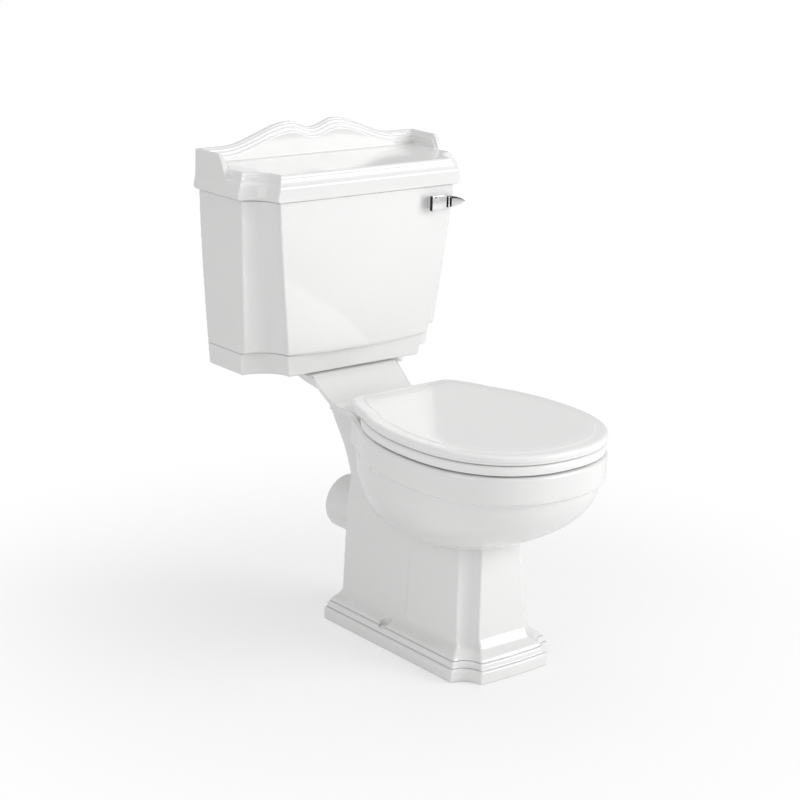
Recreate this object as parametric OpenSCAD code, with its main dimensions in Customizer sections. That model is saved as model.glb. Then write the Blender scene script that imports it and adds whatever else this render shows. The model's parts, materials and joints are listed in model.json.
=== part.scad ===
// Close-coupled two-piece toilet with a scalloped cistern lid, a lever siphon and a P-trap pan.
// Everything is drawn from the wall plane (y = 0) towards the front (-y), then moved so that the
// origin lies on the floor under the middle of the whole object.

/* [Pan] */
// Height of the pan's rim above the floor
rim_z = 392; // [370:1:420]
// Half of the pan's width across the rim
rim_half_w = 183; // [174:1:190]
// Distance from the wall to the front of the rim
rim_front = 717; // [700:1:735]
// Height of the vertical band below the rim
band_h = 46; // [36:1:56]
// Height of the shelf that carries the cistern
shelf_z = 435; // [426:1:444]
// Half of the shelf's width
shelf_half_w = 101; // [98:1:110]
// Thickness of the vitreous china in the pan
pan_wall = 13; // [10:1:15]
// Half of the plinth's width
plinth_half_w = 112; // [106:1:120]
// Distance from the wall to the front of the plinth
plinth_front = 612; // [600:1:625]
// Distance from the wall to the back of the plinth
plinth_back = 228; // [222:1:234]
// Height of the plinth's mouldings
plinth_h = 61; // [56:1:66]

/* [Outlet] */
// Outside radius of the outlet spigot
spigot_r = 51; // [50:0.5:52]
// Height of the outlet's centre above the floor
outlet_z = 180; // [176:1:184]
// Distance from the wall to the end of the outlet spigot
outlet_back = 146; // [138:1:154]
// Length of the outlet spigot
spigot_l = 54; // [50:1:56]

/* [Cistern] */
// Half of the cistern's width at its top
cistern_top_half_w = 239; // [234:1:240]
// Half of the cistern's width at its base
cistern_base_half_w = 212; // [206:1:216]
// Depth of the cistern at its top
cistern_top_d = 182; // [179:1:185]
// Depth of the cistern at its base
cistern_base_d = 156; // [152:1:160]
// Height of the cistern's body
cistern_h = 319; // [300:1:335]
// Width of the concave corners at the cistern's top
cove_top_w = 44; // [40:1:48]
// Width of the concave corners at the cistern's base
cove_base_w = 60; // [56:1:62]
// Depth of the concave corners
cove_d = 50; // [46:1:54]
// Thickness of the vitreous china in the cistern
cistern_wall = 11; // [9:0.5:13]
// How far the front panel stands out over the band at the base
panel_proud = 10; // [6:1:14]
// Height of the plain band at the cistern's base
ledge_h = 42; // [34:1:50]
// How far the front panel bows out at its lower edge
panel_bow = 9; // [4:1:12]

/* [Cistern lid] */
// Half of the cistern lid's width
lid_half_w = 249; // [247:0.5:251]
// Depth of the cistern lid
lid_d = 188; // [186:1:191]
// Height of the lid's flat top above its lower edge
lid_h = 46; // [40:1:50]
// Height of the raised back's ends above the flat top
crest_end_h = 24; // [18:1:30]
// Height of the two lobes above the ends of the raised back
crest_lobe_h = 35; // [25:1:42]
// Distance of each lobe from the middle
lobe_x = 50; // [42:1:58]
// Thickness of the raised back
crest_t = 20; // [18:1:24]
// Length of the raised ends, from back to front
return_l = 98; // [88:1:104]

/* [Seat] */
// Half of the seat lid's width
seat_half_w = 182; // [175:1:188]
// Distance from the wall to the front of the seat lid
seat_front = 716; // [700:1:730]
// Thickness of the seat ring
ring_t = 16; // [14:0.5:18]
// Thickness of the seat lid
cover_t = 17; // [15:0.5:19]
// Gap between the pan and the seat ring, filled by the buffers
ring_gap = 3; // [2.5:0.5:4]
// Gap between the seat ring and the seat lid, filled by the buffers
cover_gap = 1.5; // [1.2:0.1:2]
// Distance from the wall to the hinge axis
hinge_y = 285; // [283:0.5:288]
// Half of the distance between the two hinge posts
hinge_x = 75; // [73:0.5:77]
// Radius of the hinge pins
hinge_pin_r = 4; // [3:0.5:5]

/* [Flush lever] */
// Distance of the lever's pivot from the edge of the concave corner
lever_side = 47; // [42:1:54]
// Distance of the lever's pivot below the cistern's top
lever_drop = 28.5; // [26:0.5:32]
// Radius of the lever's spindle
spindle_r = 4; // [3:0.5:5]
// Length of the handle from the pivot to its tip
handle_l = 67; // [62:1:72]

/* [Siphon and valve] */
// Distance from the wall to the middle of the siphon and the filling valve
works_y = 88; // [84:1:90]
// Distance of the siphon's bell from its outlet tail
bell_x = 64; // [62:1:70]
// Radius of the siphon's bell
bell_r = 42; // [36:1:44]
// Height of the siphon's bend above the cistern's floor
bend_h = 148; // [130:1:160]
// Radius of the lift rod
rod_r = 3; // [2.5:0.5:4]
// Distance of the filling valve from the side of the cistern's base
valve_side = 56; // [54:1:58]
// Radius of the filling valve's threaded tail
inlet_r = 10.4; // [10:0.1:10.8]
// Height of the filling valve above the cistern's floor
valve_h = 232; // [200:1:240]
// Radius of the float cup
float_r = 30; // [26:1:32]
// Distance of the two coupling bolts from the middle
bolt_x = 74; // [72:1:77]
// Radius of the coupling bolts
bolt_r = 4; // [3:0.5:5]

/* [Hidden] */

$fn = 48;
ring_n = 48;                                     // points round each lofted section
run = 0.08;                                      // radial clearance of a running fit
seat_clear = 0.25;                               // space left between pieces that rest on each other
overall_d = max(rim_front, seat_front);
cistern_z = shelf_z + 3;                         // underside of the cistern
cistern_top_z = cistern_z + cistern_h;
floor_z = cistern_z + cistern_wall + 1;          // floor inside the cistern
cistern_back = 4;                                // the cistern's back stands this far off the wall
lid_z = cistern_top_z + seat_clear;
lid_top_z = lid_z + lid_h;
ring_z = rim_z + ring_gap;
ring_top_z = ring_z + ring_t;
cover_z = ring_top_z + cover_gap;
cover_top_z = cover_z + cover_t;
rim_mid_y = -515;                                // widest place of the rim and the seat
rim_back_l = 250;                                // from there to the back of the rim's oval
neck_y = -245;                                   // where the neck starts to flare out to the rim
flare_y = -361;                                  // where the flare meets the rim's oval
hinge_z = rim_z + 12;
seat_back = hinge_y - 7;                         // back edge of the seat lid
ring_back = hinge_y + 25;                        // back edge of the seat ring
lever_z = cistern_top_z - lever_drop;
lever_x = cistern_top_half_w - cove_top_w - lever_side;
valve_x = cistern_base_half_w - valve_side;
pedestal_half_w = plinth_half_w - 30.5;
pedestal_front = plinth_front - 34;
pedestal_back = plinth_back + 10;
pedestal_top_z = 240;
foot_screw_x = plinth_half_w - 17;
foot_screw_y = -380;
column_half_w = 60;

china = [0.96, 0.96, 0.95];
plastic_white = [0.93, 0.93, 0.92];
plastic_grey = [0.75, 0.77, 0.8];
chrome = [0.72, 0.74, 0.77];
steel = [0.62, 0.63, 0.65];
brass = [0.78, 0.63, 0.3];
rubber = [0.15, 0.15, 0.16];

// Moves the finished pieces so that the origin is under the middle of the object
module place() {
  translate([0, overall_d / 2, 0]) children();
}

module both_sides() {
  children();
  mirror([1, 0, 0]) children();
}

function lerp(a, b, t) = a + (b - a) * t;
function smooth(t) = t * t * (3 - 2 * t);
function at_z(outline, z) = [for (p = outline) [p[0], p[1], z]];
function centre(ring) = [for (k = [0:2]) (min([for (p = ring) p[k]]) + max([for (p = ring) p[k]])) / 2];
function inset(outline, t, mid, half_w, half_l) =
  [for (p = outline) [p[0] * (1 - t / half_w), mid + (p[1] - mid) * (1 - t / half_l)]];

// A closed solid through rings of equal length, capped at its first and last ring
module loft(rings) {
  n = len(rings[0]);
  m = len(rings);
  points = concat([for (r = rings) for (p = r) p], [centre(rings[0]), centre(rings[m - 1])]);
  sides = [for (j = [0:m - 2]) for (i = [0:n - 1]) let (a = j * n + i, b = j * n + (i + 1) % n)
           each [[a, a + n, b + n], [a, b + n, b]]];
  low = [for (i = [0:n - 1]) [m * n, i, (i + 1) % n]];
  high = [for (i = [0:n - 1]) [m * n + 1, (m - 1) * n + (i + 1) % n, (m - 1) * n + i]];
  polyhedron(points, concat(sides, low, high), convexity = 8);
}

// The same, but closed on itself like a tyre
module loft_loop(rings) {
  n = len(rings[0]);
  m = len(rings);
  sides = [for (j = [0:m - 1]) for (i = [0:n - 1])
           let (a = j * n + i, b = j * n + (i + 1) % n, c = ((j + 1) % m) * n + i,
                d = ((j + 1) % m) * n + (i + 1) % n)
           each [[a, c, d], [a, d, b]]];
  polyhedron([for (r = rings) for (p = r) p], sides, convexity = 8);
}

// Oval with its own length in front of and behind its widest place, squarer for a larger n
function oval(half_w, mid, front_l, back_l, n = 2, count = ring_n) =
  [for (k = [0:count - 1]) let (a = 360 * k / count, c = cos(a), s = sin(a))
   [half_w * sign(c) * pow(abs(c), 2 / n),
    mid + (s > 0 ? back_l : front_l) * sign(s) * pow(abs(s), 2 / n)]];

// Rectangle whose two front corners are hollowed by a quarter of an oval, with a bowed front
function coved(half_w, back, front, w, bow = 0, depth = 0) =
  let (steps = 7, spans = 10, d = depth > 0 ? depth : w,
       left = concat([[-half_w, back]],
                     [for (i = [0:steps]) let (a = 90 - 90 * i / steps)
                      [-half_w + w * cos(a), front + d * sin(a)]]),
       face = [for (i = [1:spans - 1]) let (u = -1 + 2 * i / spans)
               [u * (half_w - w), front - bow * (1 - u * u)]],
       right = [for (i = [len(left) - 1:-1:0]) [-left[i][0], left[i][1]]])
  concat(left, face, right);

module hexagon_nut(across, h, hole_r) {
  difference() {
    cylinder(r = across / sqrt(3), h = h, $fn = 6);
    translate([0, 0, -1]) cylinder(r = hole_r, h = h + 2);
  }
}

module washer(r, hole_r, h) {
  difference() {
    cylinder(r = r, h = h);
    translate([0, 0, -1]) cylinder(r = hole_r, h = h + 2);
  }
}

// Pan: outer forms
function rim_x(y) = let (l = y > rim_mid_y ? rim_back_l : rim_front + rim_mid_y, n = y > rim_mid_y ? 2.1 : 2.3)
  rim_half_w * pow(1 - pow(abs(y - rim_mid_y) / l, n), 1 / n);
neck_w = shelf_half_w - 4;
function flare_x(y) = lerp(neck_w, rim_x(flare_y), pow(min(1, max(0, (neck_y - y) / (neck_y - flare_y))), 1.35));

// Right half of the rim's outline, from its front to the start of the flare
rim_half = concat([for (i = [1:9]) let (a = 90 * i / 9)
                   [rim_half_w * pow(sin(a), 2 / 2.3),
                    rim_mid_y - (rim_front + rim_mid_y) * pow(cos(a), 2 / 2.3)]],
                  [for (i = [1:4]) let (y = lerp(rim_mid_y, flare_y, i / 4)) [rim_x(y), y]]);
function closed(half) = concat([[0, -rim_front]], half,
                               [for (i = [len(half) - 1:-1:0]) [-half[i][0], half[i][1]]]);
rim_outline = closed(concat(rim_half, [for (y = [-340, -320, -300, -284]) [flare_x(y), y]],
                            [[flare_x(-280) - 9, -272], [column_half_w + 12, -264], [10, -262]]));
neck_outline = closed(concat(rim_half, [for (y = [-340, -320, -300, -280, -262, neck_y]) [flare_x(y), y]],
                             [[neck_w, -206]]));
function shrunk(outline, t) = inset(outline, t, rim_mid_y, rim_half_w, rim_front + rim_mid_y);

module rim_table() {
  low = rim_z - band_h;
  loft([at_z(shrunk(rim_outline, 7), low - 3), at_z(shrunk(rim_outline, 1), low), at_z(rim_outline, low + 3),
        at_z(rim_outline, rim_z - 7), at_z(rim_outline, rim_z - 6)]);
}

// Top of the rim with the thin lip of the neck
module rim_top() {
  loft([at_z(shrunk(neck_outline, 6), rim_z - 9), at_z(shrunk(neck_outline, 1), rim_z - 7.5),
        at_z(neck_outline, rim_z - 5), at_z(shrunk(neck_outline, 1.2), rim_z - 1.5),
        at_z(shrunk(neck_outline, 4.5), rim_z)]);
}

// One level of the bowl: it leans back as it narrows
bowl_h = 153;
bowl_low_y = 395;
function bowl_level(a) = let (c = cos(a), w = (rim_half_w - 7) * c,
    mid = lerp(bowl_low_y, -rim_mid_y, pow(c, 1.3)), front = lerp(bowl_low_y, rim_front - 9, pow(c, 1.08)),
    back = lerp(bowl_low_y, 262, pow(c, 0.15)))
  at_z(oval(w, -mid, front - mid, mid - back, 2.3), rim_z - band_h - bowl_h * sin(a));

module bowl_outside() {
  loft([for (a = [87, 80, 72, 63, 54, 45, 36, 27, 18, 9, 0, -2]) bowl_level(a)]);
}

// One cross section of the shelf: flat top, sloped sides and a rounded belly
function shelf_section(y, top, edge, belly, top_w) =
  let (low_w = top_w - 9,
       half = concat([[0, top], [-top_w + 3, top], [-top_w, top - 3], [-low_w, edge],
                      [-column_half_w - 4, edge - 1]],
                     [for (i = [0:4]) let (a = 90 * i / 4)
                      [-column_half_w * cos(a), edge - 2 + (belly - edge) * sin(a)]]),
       ring = concat(half, [for (i = [len(half) - 2:-1:1]) [-half[i][0], half[i][1]]]))
  [for (p = ring) [p[0], y, p[1]]];

module shelf() {
  w = shelf_half_w;
  top = shelf_z;
  loft([shelf_section(-22, top - 2, top - 10, top - 28, w - 4), shelf_section(-26, top, top - 11, top - 34, w),
        shelf_section(-60, top, top - 11, top - 50, w), shelf_section(-105, top, top - 11, top - 60, w),
        shelf_section(-146, top, top - 17, top - 72, w), shelf_section(-154, top - 1.5, top - 19, top - 76, w),
        shelf_section(-162, top - 7, top - 21, top - 78, w - 0.5),
        shelf_section(-180, lerp(rim_z, top, 0.52), lerp(rim_z, top, 0.52) - 12, top - 84, w - 1.5),
        shelf_section(-196, lerp(rim_z, top, 0.25), lerp(rim_z, top, 0.25) - 9, top - 90, w - 3),
        shelf_section(-212, lerp(rim_z, top, 0.08), rim_z - 6, top - 94, w - 4),
        shelf_section(-232, rim_z - 0.2, rim_z - 8, top - 98, w - 4.5),
        shelf_section(-262, rim_z - 1, rim_z - 10, top - 102, w - 6)]);
}

// Column that carries the shelf and holds the trap
module column() {
  function section(back, half_w, z) = let (front = 352, mid = (back + front) / 2)
    at_z(oval(half_w, -mid, (front - back) / 2, (front - back) / 2, 4, 28), z);
  w = column_half_w + 6;
  loft([section(pedestal_back + 1, w + 6, pedestal_top_z - 50), section(pedestal_back - 2, w + 4, pedestal_top_z - 18),
        section(pedestal_back - 10, w + 1, pedestal_top_z + 6), section(pedestal_back - 27, w, 264),
        section(pedestal_back - 38, w, 289), section(pedestal_back - 51, w, 312),
        section(pedestal_back - 78, w, 346), section(pedestal_back - 97, w, 371),
        section(pedestal_back - 116, w, 394)]);
}

// Hollow-cornered ring of the pedestal, whose front part stands slightly proud of its sides
function pedestal_ring(z, half_w, front, back) =
  let (base = coved(half_w, -back, -front, 27),
       n = len(base))
  at_z(concat([[-half_w + 1.5, -back], [-half_w + 1.5, -412], [-half_w, -418]], [for (i = [1:n - 2]) base[i]],
              [[half_w, -418], [half_w - 1.5, -412], [half_w - 1.5, -back]]), z);

module pedestal() {
  w = pedestal_half_w;
  f = pedestal_front;
  b = pedestal_back;
  loft([pedestal_ring(plinth_h - 4, w + 1, f + 1, b + 1), pedestal_ring(plinth_h + 3, w - 1, f - 1, b),
        pedestal_ring(94, w - 2.5, f - 4, b - 1), pedestal_ring(130, w - 5, f - 7.5, b - 3),
        pedestal_ring(170, w - 7.5, f - 11, b - 5), pedestal_ring(217, w - 10, f - 15, b - 7),
        pedestal_ring(262, w - 16, f - 50, b - 7)]);
}

function plinth_ring(z, t) =
  at_z(coved(plinth_half_w - t, -plinth_back - t * 0.4, -plinth_front + t, 35 - t * 0.22, 4 - t * 0.1), z);
// Moulding of the plinth: height and how far it steps in
plinth_profile = [[0, 1.5], [2, 0], [22, 0], [24, 2.5], [27, 5], [33, 6.5], [37, 9.5], [40, 13],
                  [43, 18.5], [46.5, 24], [51, 28.5], [plinth_h, 33]];

module plinth() {
  loft([for (p = plinth_profile) plinth_ring(p[0], p[1])]);
}

// Pan: inner spaces
sump_z = 86;
// Sections of the bowl's inside: half width, distance from the wall to its front and back, height
bowl_sections = [[34, 464, 398, sump_z], [40, 478, 388, sump_z + 14], [44, 490, 382, sump_z + 54],
                 [50, 508, 376, sump_z + 94], [62, 542, 366, sump_z + 130], [92, 606, 348, sump_z + 170],
                 [126, 658, 336, sump_z + 210], [147, 686, 328, sump_z + 248], [150, 690, 326, sump_z + 264]];

function bowl_ring(s, grow) = let (mid = -(s[1] + s[2]) / 2, half_l = (s[1] - s[2]) / 2)
  at_z(oval(s[0] + grow, mid, half_l + grow, half_l + grow, 2.15, 32), s[3] - grow * 0.8);

module bowl_space(grow) {
  loft([for (s = bowl_sections) bowl_ring(s, grow)]);
}

rim_hole_half_w = rim_half_w - 62;
rim_hole_front = rim_front - 66;
rim_hole_back = 352;
function rim_hole(t) = let (mid = -(rim_hole_front + rim_hole_back) / 2, half_l = (rim_hole_front - rim_hole_back) / 2)
  oval(rim_hole_half_w - t, mid, half_l - t, half_l - t, 2.2, 36);

module bowl_mouth() {
  loft([at_z(rim_hole(4), rim_z - 46), at_z(rim_hole(0), rim_z - 34), at_z(rim_hole(0), rim_z - 6),
        at_z(rim_hole(-2), rim_z - 2), at_z(rim_hole(-6), rim_z + 0.5), at_z(rim_hole(-6), rim_z + 6)]);
}

// A round tube along points in the plane of symmetry, given as y, z and radius
module swept_tube(path, grow, sides = 16) {
  n = len(path);
  function heading(i) = let (a = path[max(i - 1, 0)], b = path[min(i + 1, n - 1)]) atan2(b[1] - a[1], b[0] - a[0]);
  loft([for (i = [0:n - 1]) let (h = heading(i), r = path[i][2] + grow)
        [for (k = [0:sides - 1]) let (a = -360 * k / sides)
         [r * cos(a), path[i][0] - r * sin(a) * sin(h), path[i][1] + r * sin(a) * cos(h)]]]);
}

trap_r = 36;
weir_z = sump_z + 164;
trap_path = [[-428, sump_z + 42, trap_r - 3], [-392, sump_z + 42, trap_r], [-358, sump_z + 50, trap_r],
             [-335, sump_z + 70, trap_r], [-325, sump_z + 100, trap_r], [-317, sump_z + 130, trap_r],
             [-304, weir_z - 8, trap_r], [-287, weir_z, trap_r], [-269, weir_z - 7, trap_r],
             [-254, weir_z - 25, trap_r], [-240, outlet_z + 22, trap_r], [-218, outlet_z + 2, trap_r],
             [-188, outlet_z, trap_r]];
flush_r = 19;
flush_path = [[-works_y, shelf_z - 27, flush_r], [-150, shelf_z - 47, flush_r], [-215, rim_z - 29, flush_r],
              [-270, rim_z - 34, flush_r], [-340, rim_z - 34, flush_r]];

// Hollow underside, which leaves the sump, the trap and two bosses for the floor screws standing
module hollow_underside() {
  w = pedestal_half_w - pan_wall;
  f = pedestal_front - pan_wall;
  b = pedestal_back + pan_wall;
  difference() {
    loft([at_z(coved(plinth_half_w - 14, -plinth_back - 14, -plinth_front + 14, 36), -1),
          at_z(coved(plinth_half_w - 18, -plinth_back - 16, -plinth_front + 16, 36), 16),
          at_z(coved(plinth_half_w - 32, -plinth_back - 26, -plinth_front + 33, 34), 34),
          at_z(coved(w - 3, -b, -f + 3, 30), plinth_h), at_z(coved(w - 11, -b, -f + 15, 30), 176)]);
    bowl_space(pan_wall);
    swept_tube(trap_path, pan_wall);
    rotate([90, 0, 0]) translate([0, outlet_z, 170]) cylinder(r = spigot_r + 3, h = 110);
    both_sides() translate([foot_screw_x, foot_screw_y, -1]) cylinder(r = 16, h = plinth_h);
  }
}

// The casting without its drilled holes, at its exact width
module pan_casting() {
  resize([2 * rim_half_w, 0, 0])
    difference() {
      union() {
        rim_table();
        rim_top();
        bowl_outside();
        shelf();
        column();
        pedestal();
        plinth();
        swept_tube(trap_path, pan_wall);
      }
      bowl_space(0);
      bowl_mouth();
      swept_tube(concat(trap_path, [[-178, outlet_z, trap_r]]), 0);
      swept_tube(flush_path, 0);
      hollow_underside();
    }
}

recess_r = 45;
recess_h = 16;
pocket_r = 13.5;
pocket_z = rim_z - 16;
shelf_low_z = shelf_z - 9.5;                     // flats under the shelf for the coupling washers
spot_r = 12.5;
foot_seat_z = 27;                                // seats of the floor screws
cap_hole_r = 10.5;
module pan() color(china) place() difference() {
  union() {
    pan_casting();
    translate([0, -outlet_back, outlet_z]) rotate([90, 0, 0]) washer(spigot_r, trap_r + 4, spigot_l);
  }
  translate([0, -works_y, shelf_z - recess_h]) cylinder(r = recess_r, h = recess_h + 5);
  translate([0, -works_y, shelf_z - 34]) cylinder(r = 29.5, h = 40);
  both_sides() {
    translate([bolt_x, -works_y, shelf_z - 40]) cylinder(r = bolt_r + 3, h = 50);
    translate([bolt_x, -works_y, shelf_z - 30]) cylinder(r = spot_r, h = shelf_low_z - shelf_z + 30);
    translate([hinge_x, -hinge_y, rim_z - 60]) cylinder(r = hinge_pin_r + 2.5, h = 70);
    translate([hinge_x, -hinge_y, pedestal_top_z]) cylinder(r = pocket_r, h = pocket_z - pedestal_top_z);
    translate([foot_screw_x, foot_screw_y, -5]) cylinder(r = 4, h = 60);
    translate([foot_screw_x, foot_screw_y, foot_seat_z]) cylinder(r = cap_hole_r, h = 60);
  }
}

// Cistern
function flank(t) = 1 - pow(1 - t, 1.3);
function cove_w(z) = lerp(cove_base_w, cove_top_w, (z - cistern_z) / cistern_h);
function cistern_half_w(z) = lerp(cistern_base_half_w, cistern_top_half_w, flank((z - cistern_z) / cistern_h));
function panel_y(z) = let (t = (z - cistern_z) / cistern_h)
  -lerp(cistern_base_d + panel_proud - 3, cistern_top_d, flank(t));
function band_y(z) = -cistern_base_d - 2 * (z - cistern_z) / ledge_h;
function panel_ring(z) = let (t = (cistern_top_z - z) / (cistern_h - ledge_h))
  at_z(coved(cistern_half_w(z), -cistern_back, panel_y(z), cove_w(z), panel_bow * smooth(t), cove_d), z);
function band_outline(z) = coved(cistern_half_w(z), -cistern_back, band_y(z), cove_w(z) + 4, 0, cove_d + 4);
function band_ring(z) = at_z(band_outline(z), z);
function sagged(ring, sag) = let (w = max([for (p = ring) p[0]]) - cove_base_w)
  [for (p = ring) abs(p[0]) < w && p[1] < -cistern_back - 20 ? [p[0], p[1], p[2] - sag * (1 - pow(p[0] / w, 2))] : p];
function inner_outline(z, front) =
  coved(cistern_half_w(z) - cistern_wall, -cistern_back - cistern_wall, front + cistern_wall, cove_w(z), 0, cove_d);
function inner_ring(z, front) = at_z(inner_outline(z, front), z);

module cistern_shell() {
  ledge_z = cistern_z + ledge_h;
  mid_z = (ledge_z + cistern_top_z) / 2;
  loft([at_z(inset(inner_outline(floor_z, band_y(floor_z)), 6, -80, 190, 66), floor_z),
        inner_ring(floor_z + 8, band_y(floor_z)), inner_ring(ledge_z + 6, band_y(ledge_z)),
        inner_ring(ledge_z + 60, panel_y(ledge_z + 60)), inner_ring(mid_z + 40, panel_y(mid_z + 40)),
        inner_ring(cistern_top_z, panel_y(cistern_top_z)),
        panel_ring(cistern_top_z), panel_ring(cistern_top_z - 50), panel_ring(mid_z + 40), panel_ring(mid_z),
        panel_ring(mid_z - 50), panel_ring(ledge_z + 40), sagged(panel_ring(ledge_z + 3), 2.5),
        sagged(at_z(coved(cistern_half_w(ledge_z), -cistern_back, panel_y(ledge_z) + 2, cove_w(ledge_z) + 1,
                          panel_bow, cove_d + 1), ledge_z), 2.5),
        sagged(band_ring(ledge_z - 1), 2), band_ring(cistern_z + ledge_h / 2), band_ring(cistern_z + 3),
        at_z(inset(band_outline(cistern_z), 2.5, -80, 205, 76), cistern_z)]);
}

wall_screw_x = 150;
wall_screw_z = cistern_top_z - 42;
tail_hole_r = 28.5;
bush_r = 7.5;
module cistern() color(china) place() difference() {
  cistern_shell();
  translate([0, -works_y, cistern_z - 5]) cylinder(r = tail_hole_r, h = 40);
  translate([valve_x, -works_y, cistern_z - 5]) cylinder(r = shank_r + 1.5, h = 40);
  translate([lever_x, -cistern_top_d + 30, lever_z]) rotate([90, 0, 0]) cylinder(r = bush_r + 0.5, h = 50);
  both_sides() {
    translate([bolt_x, -works_y, cistern_z - 5]) cylinder(r = bolt_r + 2, h = 40);
    translate([wall_screw_x, 0, wall_screw_z]) rotate([90, 0, 0]) cylinder(r = 4, h = 30);
  }
}

// Cistern lid
lid_cove_d = cove_d + 4;
end_in = 3.5;                                    // the lid's sides lean in by this much above its edge
end_half_w = lid_half_w - end_in;

// Outline of the lid, moved in by t all round and by a further amount at its two sides
function lid_ring(t, z, side = end_in) =
  at_z(coved(lid_half_w - t - side, -t * 0.15, -lid_d + t, cove_top_w + 1 - t * 0.15, 0, lid_cove_d - t * 0.15), z);
// Outline of the cistern's inside at its top, moved in by t
function under_ring(t, z) =
  at_z(coved(cistern_top_half_w - cistern_wall - t, -cistern_back - cistern_wall - t,
             -cistern_top_d + cistern_wall + t, cove_top_w, 0, cove_d), z);

module lid_cap() {
  top = lid_top_z;
  loft([under_ring(9, top - 16), under_ring(7, lid_z - 7), under_ring(3, lid_z - 7), under_ring(2.5, lid_z),
        lid_ring(0, lid_z, 5), lid_ring(0, lid_z + 3, 1.2), lid_ring(0, lid_z + 7, 0), lid_ring(0, lid_z + 16, 1.6),
        lid_ring(0, lid_z + 25), lid_ring(1.5, lid_z + 28), lid_ring(4.5, lid_z + 30), lid_ring(7, lid_z + 34),
        lid_ring(8, lid_z + 39), lid_ring(9.5, lid_z + 40), lid_ring(10.5, top - 2.5), lid_ring(13, top)]);
}

// Height of the raised back above its ends, from the middle outwards: a dip, a lobe and a long curve down
function crest_rise(x) = let (a = abs(x), dip = 0.37, foot = 192)
  a < lobe_x ? crest_lobe_h * (1 - dip * pow(cos(90 * a / lobe_x), 2))
  : a < foot ? crest_lobe_h * (1 - smooth((a - lobe_x) / (foot - lobe_x))) : 0;

// One layer of the raised back: its edge follows the crest, lowered by the drop
module crest_layer(drop, t) {
  spans = 40;
  w = end_half_w;
  top = [for (i = [0:spans]) let (x = lerp(-w, w, i / spans))
         [x, lid_top_z + crest_end_h - drop + crest_rise(x) * (1 - drop * 0.004)]];
  rotate([90, 0, 0]) linear_extrude(height = t)
    polygon(concat([[-w, lid_z + 30]], top, [[w, lid_z + 30]]));
}

// One layer of a raised end: flat, then an S-shaped fall to the moulding
module return_layer(drop, t, length) {
  top = lid_top_z + crest_end_h - drop;
  fall = 30;
  curve = [for (i = [0:8]) [-lerp(length - fall, length, i / 8), lerp(top, lid_z + 29, smooth(i / 8))]];
  translate([-end_half_w, 0, 0]) rotate([90, 0, 90]) linear_extrude(height = t)
    polygon(concat([[0, lid_z + 26], [0, top]], curve, [[-length, lid_z + 26]]));
}

module cistern_lid() color(china) place()
  resize([2 * lid_half_w, 0, 0]) union() {
    lid_cap();
    crest_layer(0, crest_t - 12);
    crest_layer(3.5, crest_t - 8);
    crest_layer(8, crest_t - 4);
    crest_layer(14, crest_t);
    both_sides() {
      return_layer(0, 8, return_l);
      return_layer(6, 12, return_l - 2);
    }
  }

// Seat
// Seat lid outline: the rim's oval, drawn in behind it to a straight edge with round corners
ear_w = 129;
ear_r = 16;
cover_half = concat([for (i = [1:9]) let (a = 90 * i / 9)
                     [seat_half_w * pow(sin(a), 2 / 2.3),
                      rim_mid_y - (seat_front + rim_mid_y) * pow(cos(a), 2 / 2.3)]],
                    [for (i = [1:4]) let (y = lerp(rim_mid_y, flare_y, i / 4)) [rim_x(y) - 1, y]],
                    [[ear_w + 6, -345], [ear_w + 1, -325]],
                    [for (i = [0:5]) let (a = 90 * i / 5)
                     [ear_w - ear_r + ear_r * cos(a), -seat_back - ear_r + ear_r * sin(a)]]);
cover_outline = concat([[0, -seat_front]], cover_half,
                       [for (i = [len(cover_half) - 1:-1:0]) [-cover_half[i][0], cover_half[i][1]]]);
ring_half = concat([for (i = [1:9]) let (a = 90 * i / 9)
                    [(seat_half_w - 1) * pow(sin(a), 2 / 2.3),
                     rim_mid_y - (seat_front - 1.5 + rim_mid_y) * pow(cos(a), 2 / 2.3)]],
                   [for (i = [1:5]) let (y = lerp(rim_mid_y, -ring_back - 16, i / 5)) [rim_x(y) - 2, y]],
                   [[ear_w - 17, -ring_back - 3], [ear_w - 28, -ring_back]]);
ring_outline = concat([[0, -seat_front + 1.5]], ring_half,
                      [for (i = [len(ring_half) - 1:-1:0]) [-ring_half[i][0], ring_half[i][1]]]);

module lofted_cover() {
  o = cover_outline;
  function shell(t, z) = at_z(inset(o, t, rim_mid_y, seat_half_w, seat_front + rim_mid_y), z);
  loft([shell(24, cover_top_z - 7), shell(8, cover_top_z - 8), shell(6.5, cover_z + 0.5), shell(3.5, cover_z),
        shell(2, cover_z + 1.5), shell(2, cover_z + 5), shell(0, cover_z + 6.5), shell(0, cover_z + 10.5),
        shell(1.5, cover_top_z - 3.5), shell(5.5, cover_top_z - 1.2), shell(14, cover_top_z - 0.4),
        shell(70, cover_top_z)]);
}

module ring_outer() {
  n = len(ring_outline);
  function outer(t) = inset(ring_outline, t, rim_mid_y, seat_half_w, seat_front + rim_mid_y);
  // The hole has as many points as the outline, and starts at its front too
  function hole(t) = let (mid = -(rim_hole_front + rim_hole_back) / 2 - 2, half_l = (rim_hole_front - rim_hole_back) / 2 - 8)
    [for (i = [0:n - 1]) let (a = -90 + 360 * i / n, c = cos(a), s = sin(a))
     [(rim_hole_half_w - 6 - t) * sign(c) * pow(abs(c), 0.9), mid + (half_l - t) * sign(s) * pow(abs(s), 0.9)]];
  z = ring_z;
  t = ring_t;
  loft_loop([at_z(outer(2), z), at_z(outer(0), z + 3), at_z(outer(0), z + t - 5), at_z(outer(1.5), z + t - 2),
             at_z(outer(5), z + t), at_z(hole(-22), z + t), at_z(hole(-10), z + t - 1), at_z(hole(-3), z + t - 4),
             at_z(hole(0), z + t - 8), at_z(hole(0), z + 3), at_z(hole(-3), z)]);
}

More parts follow.
